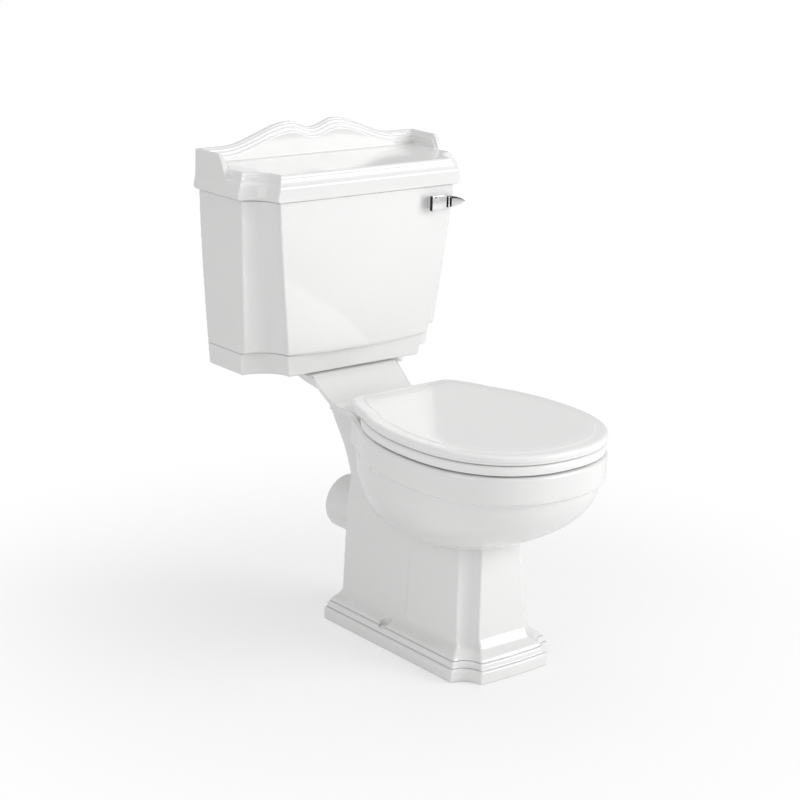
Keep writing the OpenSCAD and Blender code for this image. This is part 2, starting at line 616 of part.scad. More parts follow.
// Hinges: a post on the pan, one knuckle of the ring inside it and one of the lid outside it
post_w = 15;
post_r = 7;
post_foot_z = rim_z + 2.5;
bolt_head_z = rim_z + 6.5;
knuckle_r = 7.5;
knuckle_w = 13;
side_gap = 0.5;
ring_knuckle_x = hinge_x - post_w / 2 - side_gap - knuckle_w;
cover_knuckle_x = hinge_x + post_w / 2 + side_gap;

module along_x(x, r, l) {
  translate([x, -hinge_y, hinge_z]) rotate([0, 90, 0]) cylinder(r = r, h = l);
}

module seat_ring() color(plastic_white) place() difference() {
  union() {
    ring_outer();
    both_sides() {
      along_x(ring_knuckle_x, knuckle_r, knuckle_w);
      translate([ring_knuckle_x, -ring_back - 8, hinge_z - 4.5]) cube([knuckle_w, ring_back - hinge_y + 8, 9]);
    }
  }
  both_sides() along_x(ring_knuckle_x - 1, hinge_pin_r + run, knuckle_w + 2);
}

module seat_lid() color(plastic_white) place() difference() {
  union() {
    lofted_cover();
    both_sides() {
      along_x(cover_knuckle_x, knuckle_r, knuckle_w);
      translate([cover_knuckle_x, -hinge_y - 18, hinge_z - 2]) cube([knuckle_w, 21, cover_top_z - 3 - hinge_z]);
    }
  }
  both_sides() along_x(cover_knuckle_x - 1, hinge_pin_r + run, knuckle_w + 2);
}

module hinge_posts() color(chrome) place() both_sides() difference() {
  union() {
    translate([hinge_x - post_w / 2, -hinge_y - post_r, post_foot_z]) cube([post_w, 2 * post_r, hinge_z - post_foot_z]);
    along_x(hinge_x - post_w / 2, post_r, post_w);
  }
  along_x(hinge_x - 20, hinge_pin_r, 40);
  translate([hinge_x, -hinge_y, rim_z - 1]) cylinder(r = hinge_pin_r, h = bolt_head_z - rim_z + 1);
}

module hinge_bases() color(chrome) place() both_sides()
  translate([hinge_x, -hinge_y, rim_z + 0.1]) washer(9.2, hinge_pin_r, post_foot_z - rim_z - 0.1);

module hinge_pins() color(steel) place() both_sides() along_x(ring_knuckle_x, hinge_pin_r, 2 * knuckle_w + post_w + 2 * side_gap);

module hinge_pin_caps() color(chrome) place() both_sides()
  along_x(ring_knuckle_x - 2.2, hinge_pin_r + 1.5, 2);

bolt_foot_z = pocket_z - 16;
module hinge_bolts() color(steel) place() both_sides()
  translate([hinge_x, -hinge_y, bolt_foot_z]) cylinder(r = hinge_pin_r, h = bolt_head_z - bolt_foot_z);

module hinge_washers() color(rubber) place() both_sides()
  translate([hinge_x, -hinge_y, pocket_z - 2.2]) washer(11, hinge_pin_r, 2);

module hinge_nuts() color(plastic_white) place() both_sides()
  translate([hinge_x, -hinge_y, pocket_z - 11.4]) hexagon_nut(17, 9, hinge_pin_r);

front_buffer = [seat_half_w - 76, -seat_front + 76];
buffer_spots = [[seat_half_w - 54, -410], front_buffer];
module seat_buffers() color(rubber) place() both_sides() for (b = buffer_spots)
  translate([b[0], b[1], rim_z + seat_clear]) cylinder(r = 7, h = ring_gap - seat_clear);

module lid_buffers() color(rubber) place() both_sides()
  translate([front_buffer[0], front_buffer[1], ring_top_z + 0.2]) cylinder(r = 5, h = cover_top_z - 7 - ring_top_z - 0.2);

// Flush lever
rose_y = -panel_y(lever_z + 18) + 0.6;
rose_t = 5;
module lever_rose() color(chrome) place() difference() {
  translate([lever_x - 14, -rose_y - rose_t, lever_z - 11]) cube([28, rose_t, 22]);
  translate([lever_x, -rose_y + 1, lever_z]) rotate([90, 0, 0]) cylinder(r = spindle_r + 3.6, h = rose_t + 2);
}

hub_y = rose_y + rose_t + 0.4;
hub_t = 11;
hub_w = 34;
hub_h = 27;
function boss_ring(t, z) = let (w = hub_w / 2 - t, h = hub_h / 2 - t) [[w, -h, z], [w, h, z], [-w, h, z], [-w, -h, z]];
function blade_ring(x, low, high, back, front) = [[x, low, back], [x, high, back], [x, high, front], [x, low, front]];

// Square boss with a recessed neck and a blade that tapers to a point
module lever_handle() color(chrome) place() difference() {
  translate([lever_x, -hub_y, lever_z]) rotate([90, 0, 0]) union() {
    loft([boss_ring(0, 0), boss_ring(0, hub_t - 1.5), boss_ring(1.5, hub_t)]);
    translate([hub_w / 2 - 1, -9, 0.5]) cube([handle_l / 2 - hub_w / 2 + 3, 17, 5]);
    loft([blade_ring(handle_l * 0.5, -10.5, 9.3, 1, 8), blade_ring(handle_l * 0.55, -11.2, 8.6, 1, 8),
          blade_ring(handle_l * 0.9, -8.2, 2.4, 1.5, 6), blade_ring(handle_l, -3.6, -2.6, 2, 4)]);
  }
  translate([lever_x, -hub_y + 1, lever_z]) rotate([90, 0, 0]) cylinder(r = spindle_r, h = hub_t - 3);
}

arm_y = -works_y;
module lever_spindle() color(steel) place()
  translate([lever_x, arm_y + 8, lever_z]) rotate([90, 0, 0]) cylinder(r = spindle_r, h = hub_y + hub_t - 4 + arm_y + 8);

wall_in_y = -panel_y(lever_z - 12) - cistern_wall - 1.2;
module lever_bush() color(plastic_grey) place() difference() {
  translate([lever_x, -wall_in_y + 12, lever_z]) rotate([90, 0, 0]) cylinder(r = bush_r, h = rose_y - wall_in_y + 12 - 0.4);
  translate([lever_x, -wall_in_y + 14, lever_z]) rotate([90, 0, 0]) cylinder(r = spindle_r + run, h = 60);
}

module lever_bush_nut() color(plastic_grey) place()
  translate([lever_x, -wall_in_y + 8.5, lever_z]) rotate([90, 0, 0]) hexagon_nut(24, 6, bush_r);

arm_t = 5;
arm_l = lever_x - bell_x + 8;
module lever_arm() color(plastic_white) place() difference() {
  union() {
    translate([lever_x, arm_y + 6, lever_z]) rotate([90, 0, 0]) cylinder(r = spindle_r + 5, h = 12);
    translate([lever_x - arm_l, arm_y - 4, lever_z - arm_t / 2]) cube([arm_l - spindle_r - 2, 8, arm_t]);
  }
  translate([lever_x, arm_y + 7, lever_z]) rotate([90, 0, 0]) cylinder(r = spindle_r, h = 14);
  translate([lever_x, arm_y, lever_z]) cylinder(r = 2, h = 20);
}

module lever_arm_screw() color(brass) place() union() {
  translate([lever_x, arm_y, lever_z + spindle_r]) cylinder(r = 2, h = 8);
  translate([lever_x, arm_y, lever_z + spindle_r + 5.2]) cylinder(r = 3.6, h = 3);
}

// Siphon
leg_r = 24;
leg_wall = 2.5;
bend_z = floor_z + bend_h;
tail_r = 27;
seal_t = 3;
flange_z = floor_z + seal_t;
bell_top_z = flange_z + 88;
module siphon_body() color(plastic_white) place() translate([0, -works_y, 0]) difference() {
  union() {
    translate([0, 0, shelf_z - 30]) cylinder(r = tail_r, h = flange_z - shelf_z + 34);
    translate([0, 0, flange_z]) cylinder(r = tail_r + 14, h = 5);
    translate([0, 0, flange_z + 4]) cylinder(r = leg_r, h = bend_z - flange_z - 4);
    translate([bell_x, 0, bell_top_z - 2]) cylinder(r = leg_r, h = bend_z - bell_top_z + 2);
    translate([bell_x, 0, floor_z + 14]) cylinder(r = bell_r, h = bell_top_z - floor_z - 14);
    translate([bell_x, 0, bell_top_z - 0.1]) cylinder(r1 = bell_r, r2 = leg_r + 1, h = 12);
    translate([bell_x / 2, 0, bend_z - 1]) rotate([90, 0, 0])
      rotate_extrude(angle = 180) translate([bell_x / 2, 0]) circle(r = leg_r - 1.5);
    translate([0, 0, bend_z - 7]) cylinder(r = leg_r + 2, h = 10);
    translate([bell_x, 0, bend_z - 7]) cylinder(r = leg_r + 2, h = 10);
    translate([bell_x, 0, bend_z + 10]) cylinder(r = rod_r + 4, h = 40);
  }
  translate([0, 0, shelf_z - 35]) cylinder(r = leg_r - leg_wall, h = bend_z - shelf_z + 35);
  translate([bell_x, 0, bell_top_z - 10]) cylinder(r = leg_r - leg_wall, h = bend_z - bell_top_z + 10);
  translate([bell_x, 0, floor_z + 10]) cylinder(r = bell_r - leg_wall, h = bell_top_z - floor_z - 14);
  translate([bell_x / 2, 0, bend_z - 0.5]) rotate([90, 0, 0])
    rotate_extrude(angle = 180) translate([bell_x / 2, 0]) circle(r = leg_r - 1.5 - leg_wall);
  translate([bell_x, 0, bend_z]) cylinder(r = rod_r + 0.4, h = 80);
}

module siphon_seal() color(rubber) place() translate([0, -works_y, floor_z])
  washer(tail_r + 12, tail_r, seal_t);

nut_h = 14;
module siphon_back_nut() color(plastic_white) place() translate([0, -works_y, cistern_z - nut_h])
  hexagon_nut(66, nut_h, tail_r);

module doughnut_seal() color(rubber) place() translate([0, -works_y, shelf_z - recess_h])
  washer(recess_r - 0.5, 66 / sqrt(3) + 0.4, cistern_z - shelf_z + recess_h);

plate_z = floor_z + 18;
hook_low_z = lever_z - 7;
module siphon_lift_rod() color(steel) place() translate([bell_x, -works_y, plate_z])
  cylinder(r = rod_r, h = hook_low_z - 1 - plate_z);

module siphon_plate() color(plastic_grey) place() translate([bell_x, -works_y, plate_z + 2]) difference() {
  union() {
    cylinder(r = bell_r - leg_wall - 1, h = 3);
    cylinder(r = rod_r + 4, h = 9);
  }
  translate([0, 0, -1]) cylinder(r = rod_r, h = 12);
}

// Loop round the lever's inner arm that lifts the rod
module lift_link() color(brass) place() translate([bell_x, -works_y, 0]) union() {
  translate([-1.5, 0, lever_z]) rotate([90, 0, 90]) linear_extrude(height = 3) difference() {
    polygon([[-9, -8], [9, -8], [10, -6], [10, 9], [7, 12], [-7, 12], [-10, 9], [-10, -6]]);
    polygon([[-6.5, -5.5], [6.5, -5.5], [6.5, 8], [5, 9], [-5, 9], [-6.5, 8]]);
  }
  difference() {
    translate([0, 0, hook_low_z - 12]) cylinder(r = rod_r + 2, h = 12);
    translate([0, 0, hook_low_z - 13]) cylinder(r = rod_r, h = 12);
  }
}

// Coupling bolts between the cistern and the pan's shelf
washer_t = 1.5;
washer_z = shelf_low_z - washer_t - 0.2;
lower_nut_h = 4.5;
lower_nut_z = washer_z - lower_nut_h - 0.2;
bolt_low_z = lower_nut_z - 1;
module coupling_bolts() color(brass) place() both_sides() translate([bolt_x, -works_y, 0]) union() {
  translate([0, 0, bolt_low_z]) cylinder(r = bolt_r, h = floor_z + 4.5 - bolt_low_z);
  translate([0, 0, floor_z + 4]) cylinder(r = 9, h = 4, $fn = 6);
}

module coupling_seals() color(rubber) place() both_sides() translate([bolt_x, -works_y, floor_z])
  washer(12, bolt_r, 4);

module coupling_nuts() color(brass) place() both_sides() translate([bolt_x, -works_y, cistern_z - 2.6])
  hexagon_nut(13, 2.5, bolt_r);

module coupling_washers() color(rubber) place() both_sides() translate([bolt_x, -works_y, washer_z])
  washer(11, bolt_r, washer_t);

module coupling_lower_nuts() color(brass) place() both_sides()
  translate([bolt_x, -works_y, lower_nut_z]) hexagon_nut(13, lower_nut_h, bolt_r);

// Filling valve
riser_r = 13;
shank_r = inlet_r + 0.8;                         // upper part of the shank, through the seal and the nut
shank_step_z = cistern_z - 11.5;
shank_l = 28;
valve_flange_r = 15.5;
head_z = floor_z + valve_h - 44;
module valve_body() color(plastic_white) place() translate([valve_x, -works_y, 0]) difference() {
  union() {
    translate([0, 0, cistern_z - shank_l]) cylinder(r = inlet_r, h = shank_step_z - cistern_z + shank_l + 1);
    translate([0, 0, shank_step_z]) cylinder(r = shank_r, h = floor_z + 6 - shank_step_z);
    translate([0, 0, flange_z]) cylinder(r = valve_flange_r, h = 5);
    translate([0, 0, flange_z + 4]) cylinder(r = riser_r, h = head_z - flange_z - 4);
  }
  translate([0, 0, cistern_z - 45]) cylinder(r = 6, h = 80);
}

module valve_head() color(plastic_grey) place() translate([valve_x, -works_y, head_z]) difference() {
  union() {
    cylinder(r = 19, h = 30);
    translate([0, 0, 30]) cylinder(r1 = 19, r2 = 15, h = 5);
    for (s = [-1, 1])
      translate([8, s * 8 - 1.5, 32]) cube([11, 3, 14]);
  }
  translate([14, 12, 40]) rotate([90, 0, 0]) cylinder(r = 2.5, h = 24);
}

module valve_seal() color(rubber) place() translate([valve_x, -works_y, floor_z])
  washer(valve_flange_r - 1.5, shank_r, seal_t);

module valve_back_nut() color(plastic_white) place() translate([valve_x, -works_y, cistern_z - 10.1])
  hexagon_nut(30, 10, shank_r);

cup_z = head_z - 92;
cup_h = 64;
link_x = 26;
arm_pivot_z = head_z + 40;
module float_cup() color(plastic_grey) place() translate([valve_x, -works_y, cup_z]) difference() {
  cylinder(r = float_r, h = cup_h);
  translate([0, 0, -1]) cylinder(r = riser_r + 0.6, h = cup_h + 2);
  translate([0, 0, -1]) difference() {
    cylinder(r = float_r - 3, h = cup_h - 3);
    cylinder(r = riser_r + 3.6, h = cup_h);
  }
}

module float_link() color(steel) place() translate([valve_x - link_x, -works_y, 0]) union() {
  translate([0, 0, cup_z + cup_h]) cylinder(r = 1.6, h = arm_pivot_z + 14 - cup_z - cup_h);
  translate([0, 0, arm_pivot_z - 8.5]) cylinder(r = 4, h = 3);
  translate([0, 0, arm_pivot_z + 5.5]) cylinder(r = 4, h = 3);
}

module float_arm() color(plastic_white) place() translate([valve_x + 14, -works_y, arm_pivot_z]) difference() {
  union() {
    rotate([90, 0, 0]) translate([0, 0, -5.5]) cylinder(r = 5, h = 11);
    translate([-47, -4.5, -2.5]) cube([45, 9, 5]);
  }
  rotate([90, 0, 0]) translate([0, 0, -10]) cylinder(r = 2.5 + run, h = 20);
  translate([-14 - link_x - 4.5, -2.4, -10]) cube([9, 4.8, 20]);
}

module float_arm_pin() color(steel) place() translate([valve_x + 14, -works_y + 11, arm_pivot_z])
  rotate([90, 0, 0]) cylinder(r = 2.5, h = 22);

module floor_screw_caps() color(plastic_white) place() both_sides() translate([foot_screw_x, foot_screw_y, foot_seat_z + 0.2]) union() {
  cylinder(r = cap_hole_r - 0.2, h = 3);
  translate([0, 0, 3]) cylinder(r1 = cap_hole_r - 0.2, r2 = cap_hole_r - 3.5, h = 2.5);
}

pan();
cistern();
cistern_lid();
seat_ring();
seat_lid();
hinge_posts();
hinge_bases();
hinge_pins();
hinge_pin_caps();
hinge_bolts();
hinge_washers();
hinge_nuts();
seat_buffers();
lid_buffers();
lever_rose();
lever_handle();
lever_spindle();
lever_bush();
lever_bush_nut();
lever_arm();
lever_arm_screw();
siphon_body();
siphon_seal();
siphon_back_nut();
siphon_lift_rod();
siphon_plate();
lift_link();
doughnut_seal();
coupling_bolts();
coupling_seals();
coupling_nuts();
coupling_washers();
coupling_lower_nuts();
valve_body();
valve_head();
valve_seal();
valve_back_nut();
float_cup();
float_link();
float_arm();
float_arm_pin();
floor_screw_caps();
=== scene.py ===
import json
import math

import bmesh
import bpy
import numpy as np
from mathutils import Matrix, Vector


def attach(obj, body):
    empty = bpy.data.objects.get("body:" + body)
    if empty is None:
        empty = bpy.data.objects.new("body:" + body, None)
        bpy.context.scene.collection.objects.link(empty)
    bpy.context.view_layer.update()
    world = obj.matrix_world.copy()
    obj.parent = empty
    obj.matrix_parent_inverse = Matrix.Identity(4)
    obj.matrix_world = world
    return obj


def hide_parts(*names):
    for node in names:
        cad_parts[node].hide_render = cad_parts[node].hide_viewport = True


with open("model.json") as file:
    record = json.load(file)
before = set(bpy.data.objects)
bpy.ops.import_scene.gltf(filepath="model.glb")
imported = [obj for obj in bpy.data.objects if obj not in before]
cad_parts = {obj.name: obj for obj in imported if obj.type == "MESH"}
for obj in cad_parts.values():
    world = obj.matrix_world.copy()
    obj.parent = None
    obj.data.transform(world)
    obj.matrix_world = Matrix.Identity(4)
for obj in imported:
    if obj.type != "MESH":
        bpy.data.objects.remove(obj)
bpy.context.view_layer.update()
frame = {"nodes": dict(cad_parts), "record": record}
node = frame["nodes"]

MM = 0.001
OFFSET = 358.5  # from the wall plane to the middle of the object, along Y


# ---------------------------------------------------------------- materials
IOR, COAT_ROUGHNESS, BUMP_STRENGTH = 1.5, 0.04, 0.5
# painted shade on plated metal by the way a face is turned, from -X to +X: a painted reflection, not the metal's
# own tone
PAINTED_SIDE_SHADE = [(0.0, 0.05), (0.16, 0.1), (0.36, 1.0), (0.72, 1.0), (0.9, 0.35)]


def new_material(name):
    mat = bpy.data.materials.new(name)
    mat.use_nodes = True
    nodes = mat.node_tree.nodes
    return mat, nodes, mat.node_tree.links, nodes["Principled BSDF"]


def noise(nodes, links, scale, detail=2.0):
    coords = nodes.new("ShaderNodeTexCoord")
    tex = nodes.new("ShaderNodeTexNoise")
    tex.inputs["Scale"].default_value = scale
    tex.inputs["Detail"].default_value = detail
    tex.inputs["Roughness"].default_value = 0.5
    links.new(coords.outputs["Object"], tex.inputs["Vector"])
    return tex.outputs["Fac"]


def ramp(nodes, links, factor, stops):
    """A colour ramp whose stops are places with a grey value or a colour."""
    node_ramp = nodes.new("ShaderNodeValToRGB")
    elements = node_ramp.color_ramp.elements
    while len(elements) < len(stops):
        elements.new(0.5)
    for element, (place, value) in zip(elements, stops):
        element.position = place
        element.color = value if isinstance(value, tuple) else (value, value, value, 1)
    links.new(factor, node_ramp.inputs["Fac"])
    return node_ramp.outputs["Color"]


def remapped(nodes, links, value, values):
    node_map = nodes.new("ShaderNodeMapRange")
    for key, number in zip(("From Min", "From Max", "To Min", "To Max"), values):
        node_map.inputs[key].default_value = number
    links.new(value, node_map.inputs["Value"])
    return node_map


def bump(nodes, links, height, distance):
    node_bump = nodes.new("ShaderNodeBump")
    node_bump.inputs["Strength"].default_value = BUMP_STRENGTH
    node_bump.inputs["Distance"].default_value = distance
    links.new(height, node_bump.inputs["Height"])
    return node_bump.outputs["Normal"]


def tinted(rgb, k):
    return (rgb[0] * k, rgb[1] * k, rgb[2] * k, 1)


def surface(name, rgb, spread, patch, rough, grain, grain_height, metallic=0.0, coat=0.0):
    """A material whose colour, roughness and relief vary a little; patch and grain are noise scales per metre."""
    mat, nodes, links, bsdf = new_material(name)
    patches = noise(nodes, links, patch)
    colour = ramp(nodes, links, patches, [(0.3, tinted(rgb, 1 - spread)), (0.7, tinted(rgb, 1 + spread))])
    links.new(colour, bsdf.inputs["Base Color"])
    shine = ramp(nodes, links, noise(nodes, links, patch * 2.3, 3), [(0.3, rough[0]), (0.7, rough[1])])
    links.new(shine, bsdf.inputs["Roughness"])
    links.new(bump(nodes, links, noise(nodes, links, grain, 3), grain_height), bsdf.inputs["Normal"])
    bsdf.inputs["Metallic"].default_value = metallic
    bsdf.inputs["IOR"].default_value = IOR
    bsdf.inputs["Coat Weight"].default_value = coat
    bsdf.inputs["Coat Roughness"].default_value = COAT_ROUGHNESS
    return mat


def chrome_surface():
    """Plated metal whose side faces get painted shade in their colour, a painted reflection of the dark ends of
    the room.
    """
    mat = surface("polished_chrome", (0.68, 0.68, 0.69), 0.01, 20, (0.20, 0.26), 300, 0.00002, metallic=1.0)
    nodes, links = mat.node_tree.nodes, mat.node_tree.links
    bsdf = nodes["Principled BSDF"]
    plain = bsdf.inputs["Base Color"].links[0].from_socket
    # painted shade: the base colour is darkened by which way the face is turned
    geometry = nodes.new("ShaderNodeNewGeometry")
    split = nodes.new("ShaderNodeSeparateXYZ")
    links.new(geometry.outputs["Normal"], split.inputs["Vector"])
    lean = remapped(nodes, links, split.outputs["X"], (-1.0, 1.0, 0.0, 1.0))
    dark = ramp(nodes, links, lean.outputs["Result"], PAINTED_SIDE_SHADE)
    mix = nodes.new("ShaderNodeMix")
    mix.data_type = "RGBA"
    mix.blend_type = "MULTIPLY"
    mix.inputs["Factor"].default_value = 1.0
    links.new(plain, mix.inputs["A"])
    links.new(dark, mix.inputs["B"])
    links.new(mix.outputs["Result"], bsdf.inputs["Base Color"])
    return mat


# name, colour, its spread, patches per metre, roughness from and to, grain per metre and its height in metres,
# and where given how metallic it is and how much clear coat lies over it
MATERIALS = {
    "vitreous_china": surface("glazed_china", (0.80, 0.80, 0.795), 0.006, 9, (0.10, 0.14), 60, 0.00025, 0, 0.4),
    "seat_plastic": surface("seat_thermoset", (0.85, 0.85, 0.845), 0.004, 7, (0.16, 0.20), 90, 0.00012, 0, 0.2),
    "chrome_plate": chrome_surface(),
    # painted shade: near-black chrome laid on the lever's recesses and upper bevel in place of shade and a
    # reflection
    "painted_shade_chrome": surface("chrome_painted_shade", (0.045, 0.045, 0.05), 0.01, 20, (0.2, 0.3), 300, 0.00002, 0.6),
    "chrome_rose": surface("satin_chrome", (0.80, 0.80, 0.80), 0.01, 20, (0.3, 0.4), 300, 0.00002, 0.2),
    "stainless_steel": surface("turned_steel", (0.52, 0.52, 0.53), 0.03, 60, (0.25, 0.34), 900, 0.00004, 1.0),
    "yellow_brass": surface("turned_brass", (0.72, 0.53, 0.26), 0.04, 60, (0.24, 0.36), 900, 0.00004, 1.0),
    "black_rubber": surface("moulded_rubber", (0.035, 0.035, 0.036), 0.12, 40, (0.6, 0.72), 700, 0.00008),
    "clear_grey_rubber": surface("soft_buffer", (0.62, 0.62, 0.60), 0.02, 40, (0.4, 0.5), 500, 0.00005),
    "white_plastic": surface("white_moulding", (0.78, 0.78, 0.76), 0.012, 30, (0.32, 0.4), 600, 0.00005),
    "grey_plastic": surface("grey_moulding", (0.42, 0.44, 0.46), 0.02, 30, (0.34, 0.42), 600, 0.00005),
}
slot_of = {s["node"]: s["material_slot"] for s in frame["record"]["subparts"]}
for name, obj in node.items():
    obj.data.materials.clear()
    obj.data.materials.append(MATERIALS["chrome_rose" if name == "lever_rose" else slot_of[name]])


# ---------------------------------------------------------------- shape helpers, in mm from the wall plane
def lerp(a, b, t):
    return a + (b - a) * t


def smooth(t):
    t = np.clip(t, 0, 1)
    return t * t * (3 - 2 * t)


def at_z(outline, z):
    return np.column_stack([outline, np.full(len(outline), float(z))])


def mirrored(half):
    """A closed outline from its right half, which starts on the front of the middle plane."""
    half = np.asarray(half, float)
    left = half[::-1] * [-1, 1]
    return np.vstack([half, left[np.abs(left[:, 0]) > 1e-6]])


def inset(outline, t, mid, half_w, half_l):
    """The outline drawn in by about t all round, by scaling it about its middle."""
    return np.column_stack([outline[:, 0] * (1 - t / half_w), mid + (outline[:, 1] - mid) * (1 - t / half_l)])


def oval(half_w, mid, front_l, back_l, n, count=160):
    """A superellipse of power n with a front and a back half of different length."""
    a = np.radians(np.arange(count) * 360 / count)
    c, s = np.cos(a), np.sin(a)
    x = half_w * np.sign(c) * np.abs(c) ** (2 / n)
    y = mid + np.where(s > 0, back_l, front_l) * np.sign(s) * np.abs(s) ** (2 / n)
    return np.column_stack([x, y])


def mesh_object(name, verts, faces):
    mesh = bpy.data.meshes.new(name)
    verts = (np.asarray(verts, float) + [0, OFFSET, 0]) * MM
    mesh.from_pydata(verts.tolist(), [], faces)
    mesh.validate()
    obj = bpy.data.objects.new(name, mesh)
    bpy.context.scene.collection.objects.link(obj)
    bm = bmesh.new()
    bm.from_mesh(mesh)
    bmesh.ops.recalc_face_normals(bm, faces=bm.faces)
    bm.to_mesh(mesh)
    bm.free()
    return obj


def loft(name, rings, closed=False):
    """A solid through rings of equal length; closed joins the last ring to the first."""
    rings = [np.asarray(r, float) for r in rings]
    n, m = len(rings[0]), len(rings)
    verts = np.vstack(rings)
    faces = []
    for j in range(m if closed else m - 1):
        k = (j + 1) % m
        faces += [(j * n + i, j * n + (i + 1) % n, k * n + (i + 1) % n, k * n + i) for i in range(n)]
    if not closed:
        for ring, flip in ((0, True), (m - 1, False)):
            middle = (rings[ring].min(0) + rings[ring].max(0)) / 2
            verts = np.vstack([verts, middle])
            c = len(verts) - 1
            for i in range(n):
                a, b = ring * n + i, ring * n + (i + 1) % n
                faces.append((c, b, a) if flip else (c, a, b))
    return mesh_object(name, verts, faces)


def settled(obj):
    """Applies the object's modifiers."""
    deps = bpy.context.evaluated_depsgraph_get()
    mesh = bpy.data.meshes.new_from_object(obj.evaluated_get(deps))
    obj.modifiers.clear()
    old = obj.data
    obj.data = mesh
    bpy.data.meshes.remove(old)
    return obj


def combined(obj, tools, operation):
    """Joins the tools to the object or cuts them from it, and removes them."""
    for tool in tools:
        mod = obj.modifiers.new("boolean", "BOOLEAN")
        mod.operation = operation
        mod.object = tool
        mod.solver = "MANIFOLD"
    settled(obj)
    for tool in tools:
        bpy.data.objects.remove(tool)
    return obj


def softened(obj, voxel, passes):
    """One continuous skin with glaze-soft edges."""
    mod = obj.modifiers.new("remesh", "REMESH")
    mod.mode = "VOXEL"
    mod.voxel_size = voxel * MM
    mod.use_smooth_shade = True
    soft = obj.modifiers.new("soft", "SMOOTH")
    soft.iterations = passes
    soft.factor = 0.5
    settled(obj)
    for poly in obj.data.polygons:
        poly.use_smooth = True
    return obj


def shaded(obj, angle=35):
    """Smooth shading that breaks at sharp edges."""
    limit = math.cos(math.radians(angle))
    bm = bmesh.new()
    bm.from_mesh(obj.data)
    bmesh.ops.recalc_face_normals(bm, faces=bm.faces)
    for edge in bm.edges:
        faces = edge.link_faces
        edge.smooth = len(faces) == 2 and faces[0].normal.dot(faces[1].normal) > limit
    for face in bm.faces:
        face.smooth = True
    bm.to_mesh(obj.data)
    bm.free()
    return obj


def cylinder_y(name, x, z, r, y0, y1, sides=96):
    a = np.radians(np.arange(sides) * 360 / sides)
    ring = lambda y: np.column_stack([x + r * np.cos(a), np.full(sides, float(y)), z + r * np.sin(a)])
    return loft(name, [ring(y0), ring(y1)])


def cylinder_z(name, x, y, r, z0, z1):
    a = np.radians(np.arange(64) * 360 / 64)
    circle = np.column_stack([x + r * np.cos(a), y + r * np.sin(a)])
    return loft(name, [at_z(circle, z0), at_z(circle, z1)])


def strip(name, outer, inner, low, high):
    """A thin band between two open lines of points, to be cut away; low and high are heights or lists."""
    low, high = np.broadcast_to(low, len(outer)), np.broadcast_to(high, len(outer))
    rings = [np.array([[*o, a], [*o, b], [*i, b], [*i, a]]) for o, i, a, b in zip(outer, inner, low, high)]
    return loft(name, rings)


def wire(name, points, r):
    """A thin bar with ten sides along points in space."""
    points = np.asarray(points, float)
    k = np.radians(np.arange(10) * 36)
    rings = []
    for i, p in enumerate(points):
        ahead = points[min(i + 1, len(points) - 1)] - points[max(i - 1, 0)]
        ahead /= np.linalg.norm(ahead)
        side = np.cross(ahead, [0, 0, 1])
        side /= np.linalg.norm(side)
        rise = np.cross(side, ahead)
        rings.append(p + r * (np.outer(np.cos(k), side) + np.outer(np.sin(k), rise)))
    return loft(name, rings)


def grooved(obj, cutters):
    """Cuts fine grooves after the skin is made, and keeps their edges sharp."""
    combined(obj, cutters, "DIFFERENCE")
    for poly in obj.data.polygons:
        poly.use_smooth = True
    obj.data.set_sharp_from_angle(angle=math.radians(40))
    return obj


def dressed(obj, body, slot, *nodes):
    """Gives a piece its material and its body, and hides the solids that it stands for."""
    obj.data.materials.clear()
    obj.data.materials.append(MATERIALS[slot])
    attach(obj, body)
    if nodes:
        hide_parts(*nodes)
    return obj


# ---------------------------------------------------------------- pan
RIM_Z, RIM_W, RIM_FRONT, BAND_H = 392.0, 183.0, 717.0, 46.0
SHELF_Z, SHELF_W = 435.0, 101.0
WORKS_Y, OUTLET_Z, OUTLET_BACK, SPIGOT_R, SPIGOT_L = 88.0, 180.0, 146.0, 51.0, 64.0
RIM_MID, RIM_BACK_L, NECK_Y, FLARE_Y = -515.0, 250.0, -245.0, -361.0
FRONT_L, RIM_POWER, BACK_POWER = RIM_FRONT + RIM_MID, 2.3, 2.1
COLUMN_W, BOWL_LOW_Y, BOWL_H = 60.0, 395.0, 153.0
PLINTH_W, PLINTH_FRONT, PLINTH_BACK, PLINTH_H = 112.0, 612.0, 228.0, 61.0
PED_W, PED_FRONT, PED_BACK, PED_TOP = PLINTH_W - 30.5, PLINTH_FRONT - 34, PLINTH_BACK + 10, 240.0
NECK_W = SHELF_W - 4


def rim_x(y):
    """Half width of the rim at y."""
    length, n = (RIM_BACK_L, BACK_POWER) if y > RIM_MID else (FRONT_L, RIM_POWER)
    return RIM_W * (1 - (abs(y - RIM_MID) / length) ** n) ** (1 / n)


def flare_x(y):
    """Half width where the rim runs in to the neck under the shelf."""
    return lerp(NECK_W, rim_x(FLARE_Y), min(1, max(0, (NECK_Y - y) / (NECK_Y - FLARE_Y))) ** 1.35)


def rim_half():
    a = np.radians(np.linspace(0, 90, 61))
    power = 2 / RIM_POWER
    front = np.column_stack([RIM_W * np.sin(a) ** power, RIM_MID - FRONT_L * np.cos(a) ** power])
    back = [[rim_x(y), y] for y in np.linspace(RIM_MID, FLARE_Y, 25)[1:]]
    return np.vstack([front, back])


def rim_outline():
    flare = [[flare_x(y), y] for y in np.linspace(FLARE_Y, -284, 16)[1:]]
    end = [[flare_x(-280) - 9, -272], [COLUMN_W + 12, -264], [10, -262]]
    return mirrored(np.vstack([rim_half(), flare, end]))


def neck_outline():
    flare = [[flare_x(y), y] for y in np.linspace(FLARE_Y, NECK_Y, 24)[1:]]
    return mirrored(np.vstack([rim_half(), flare, [[NECK_W, -206]]]))


def shrunk(outline, t):
    return inset(outline, t, RIM_MID, RIM_W, FRONT_L)


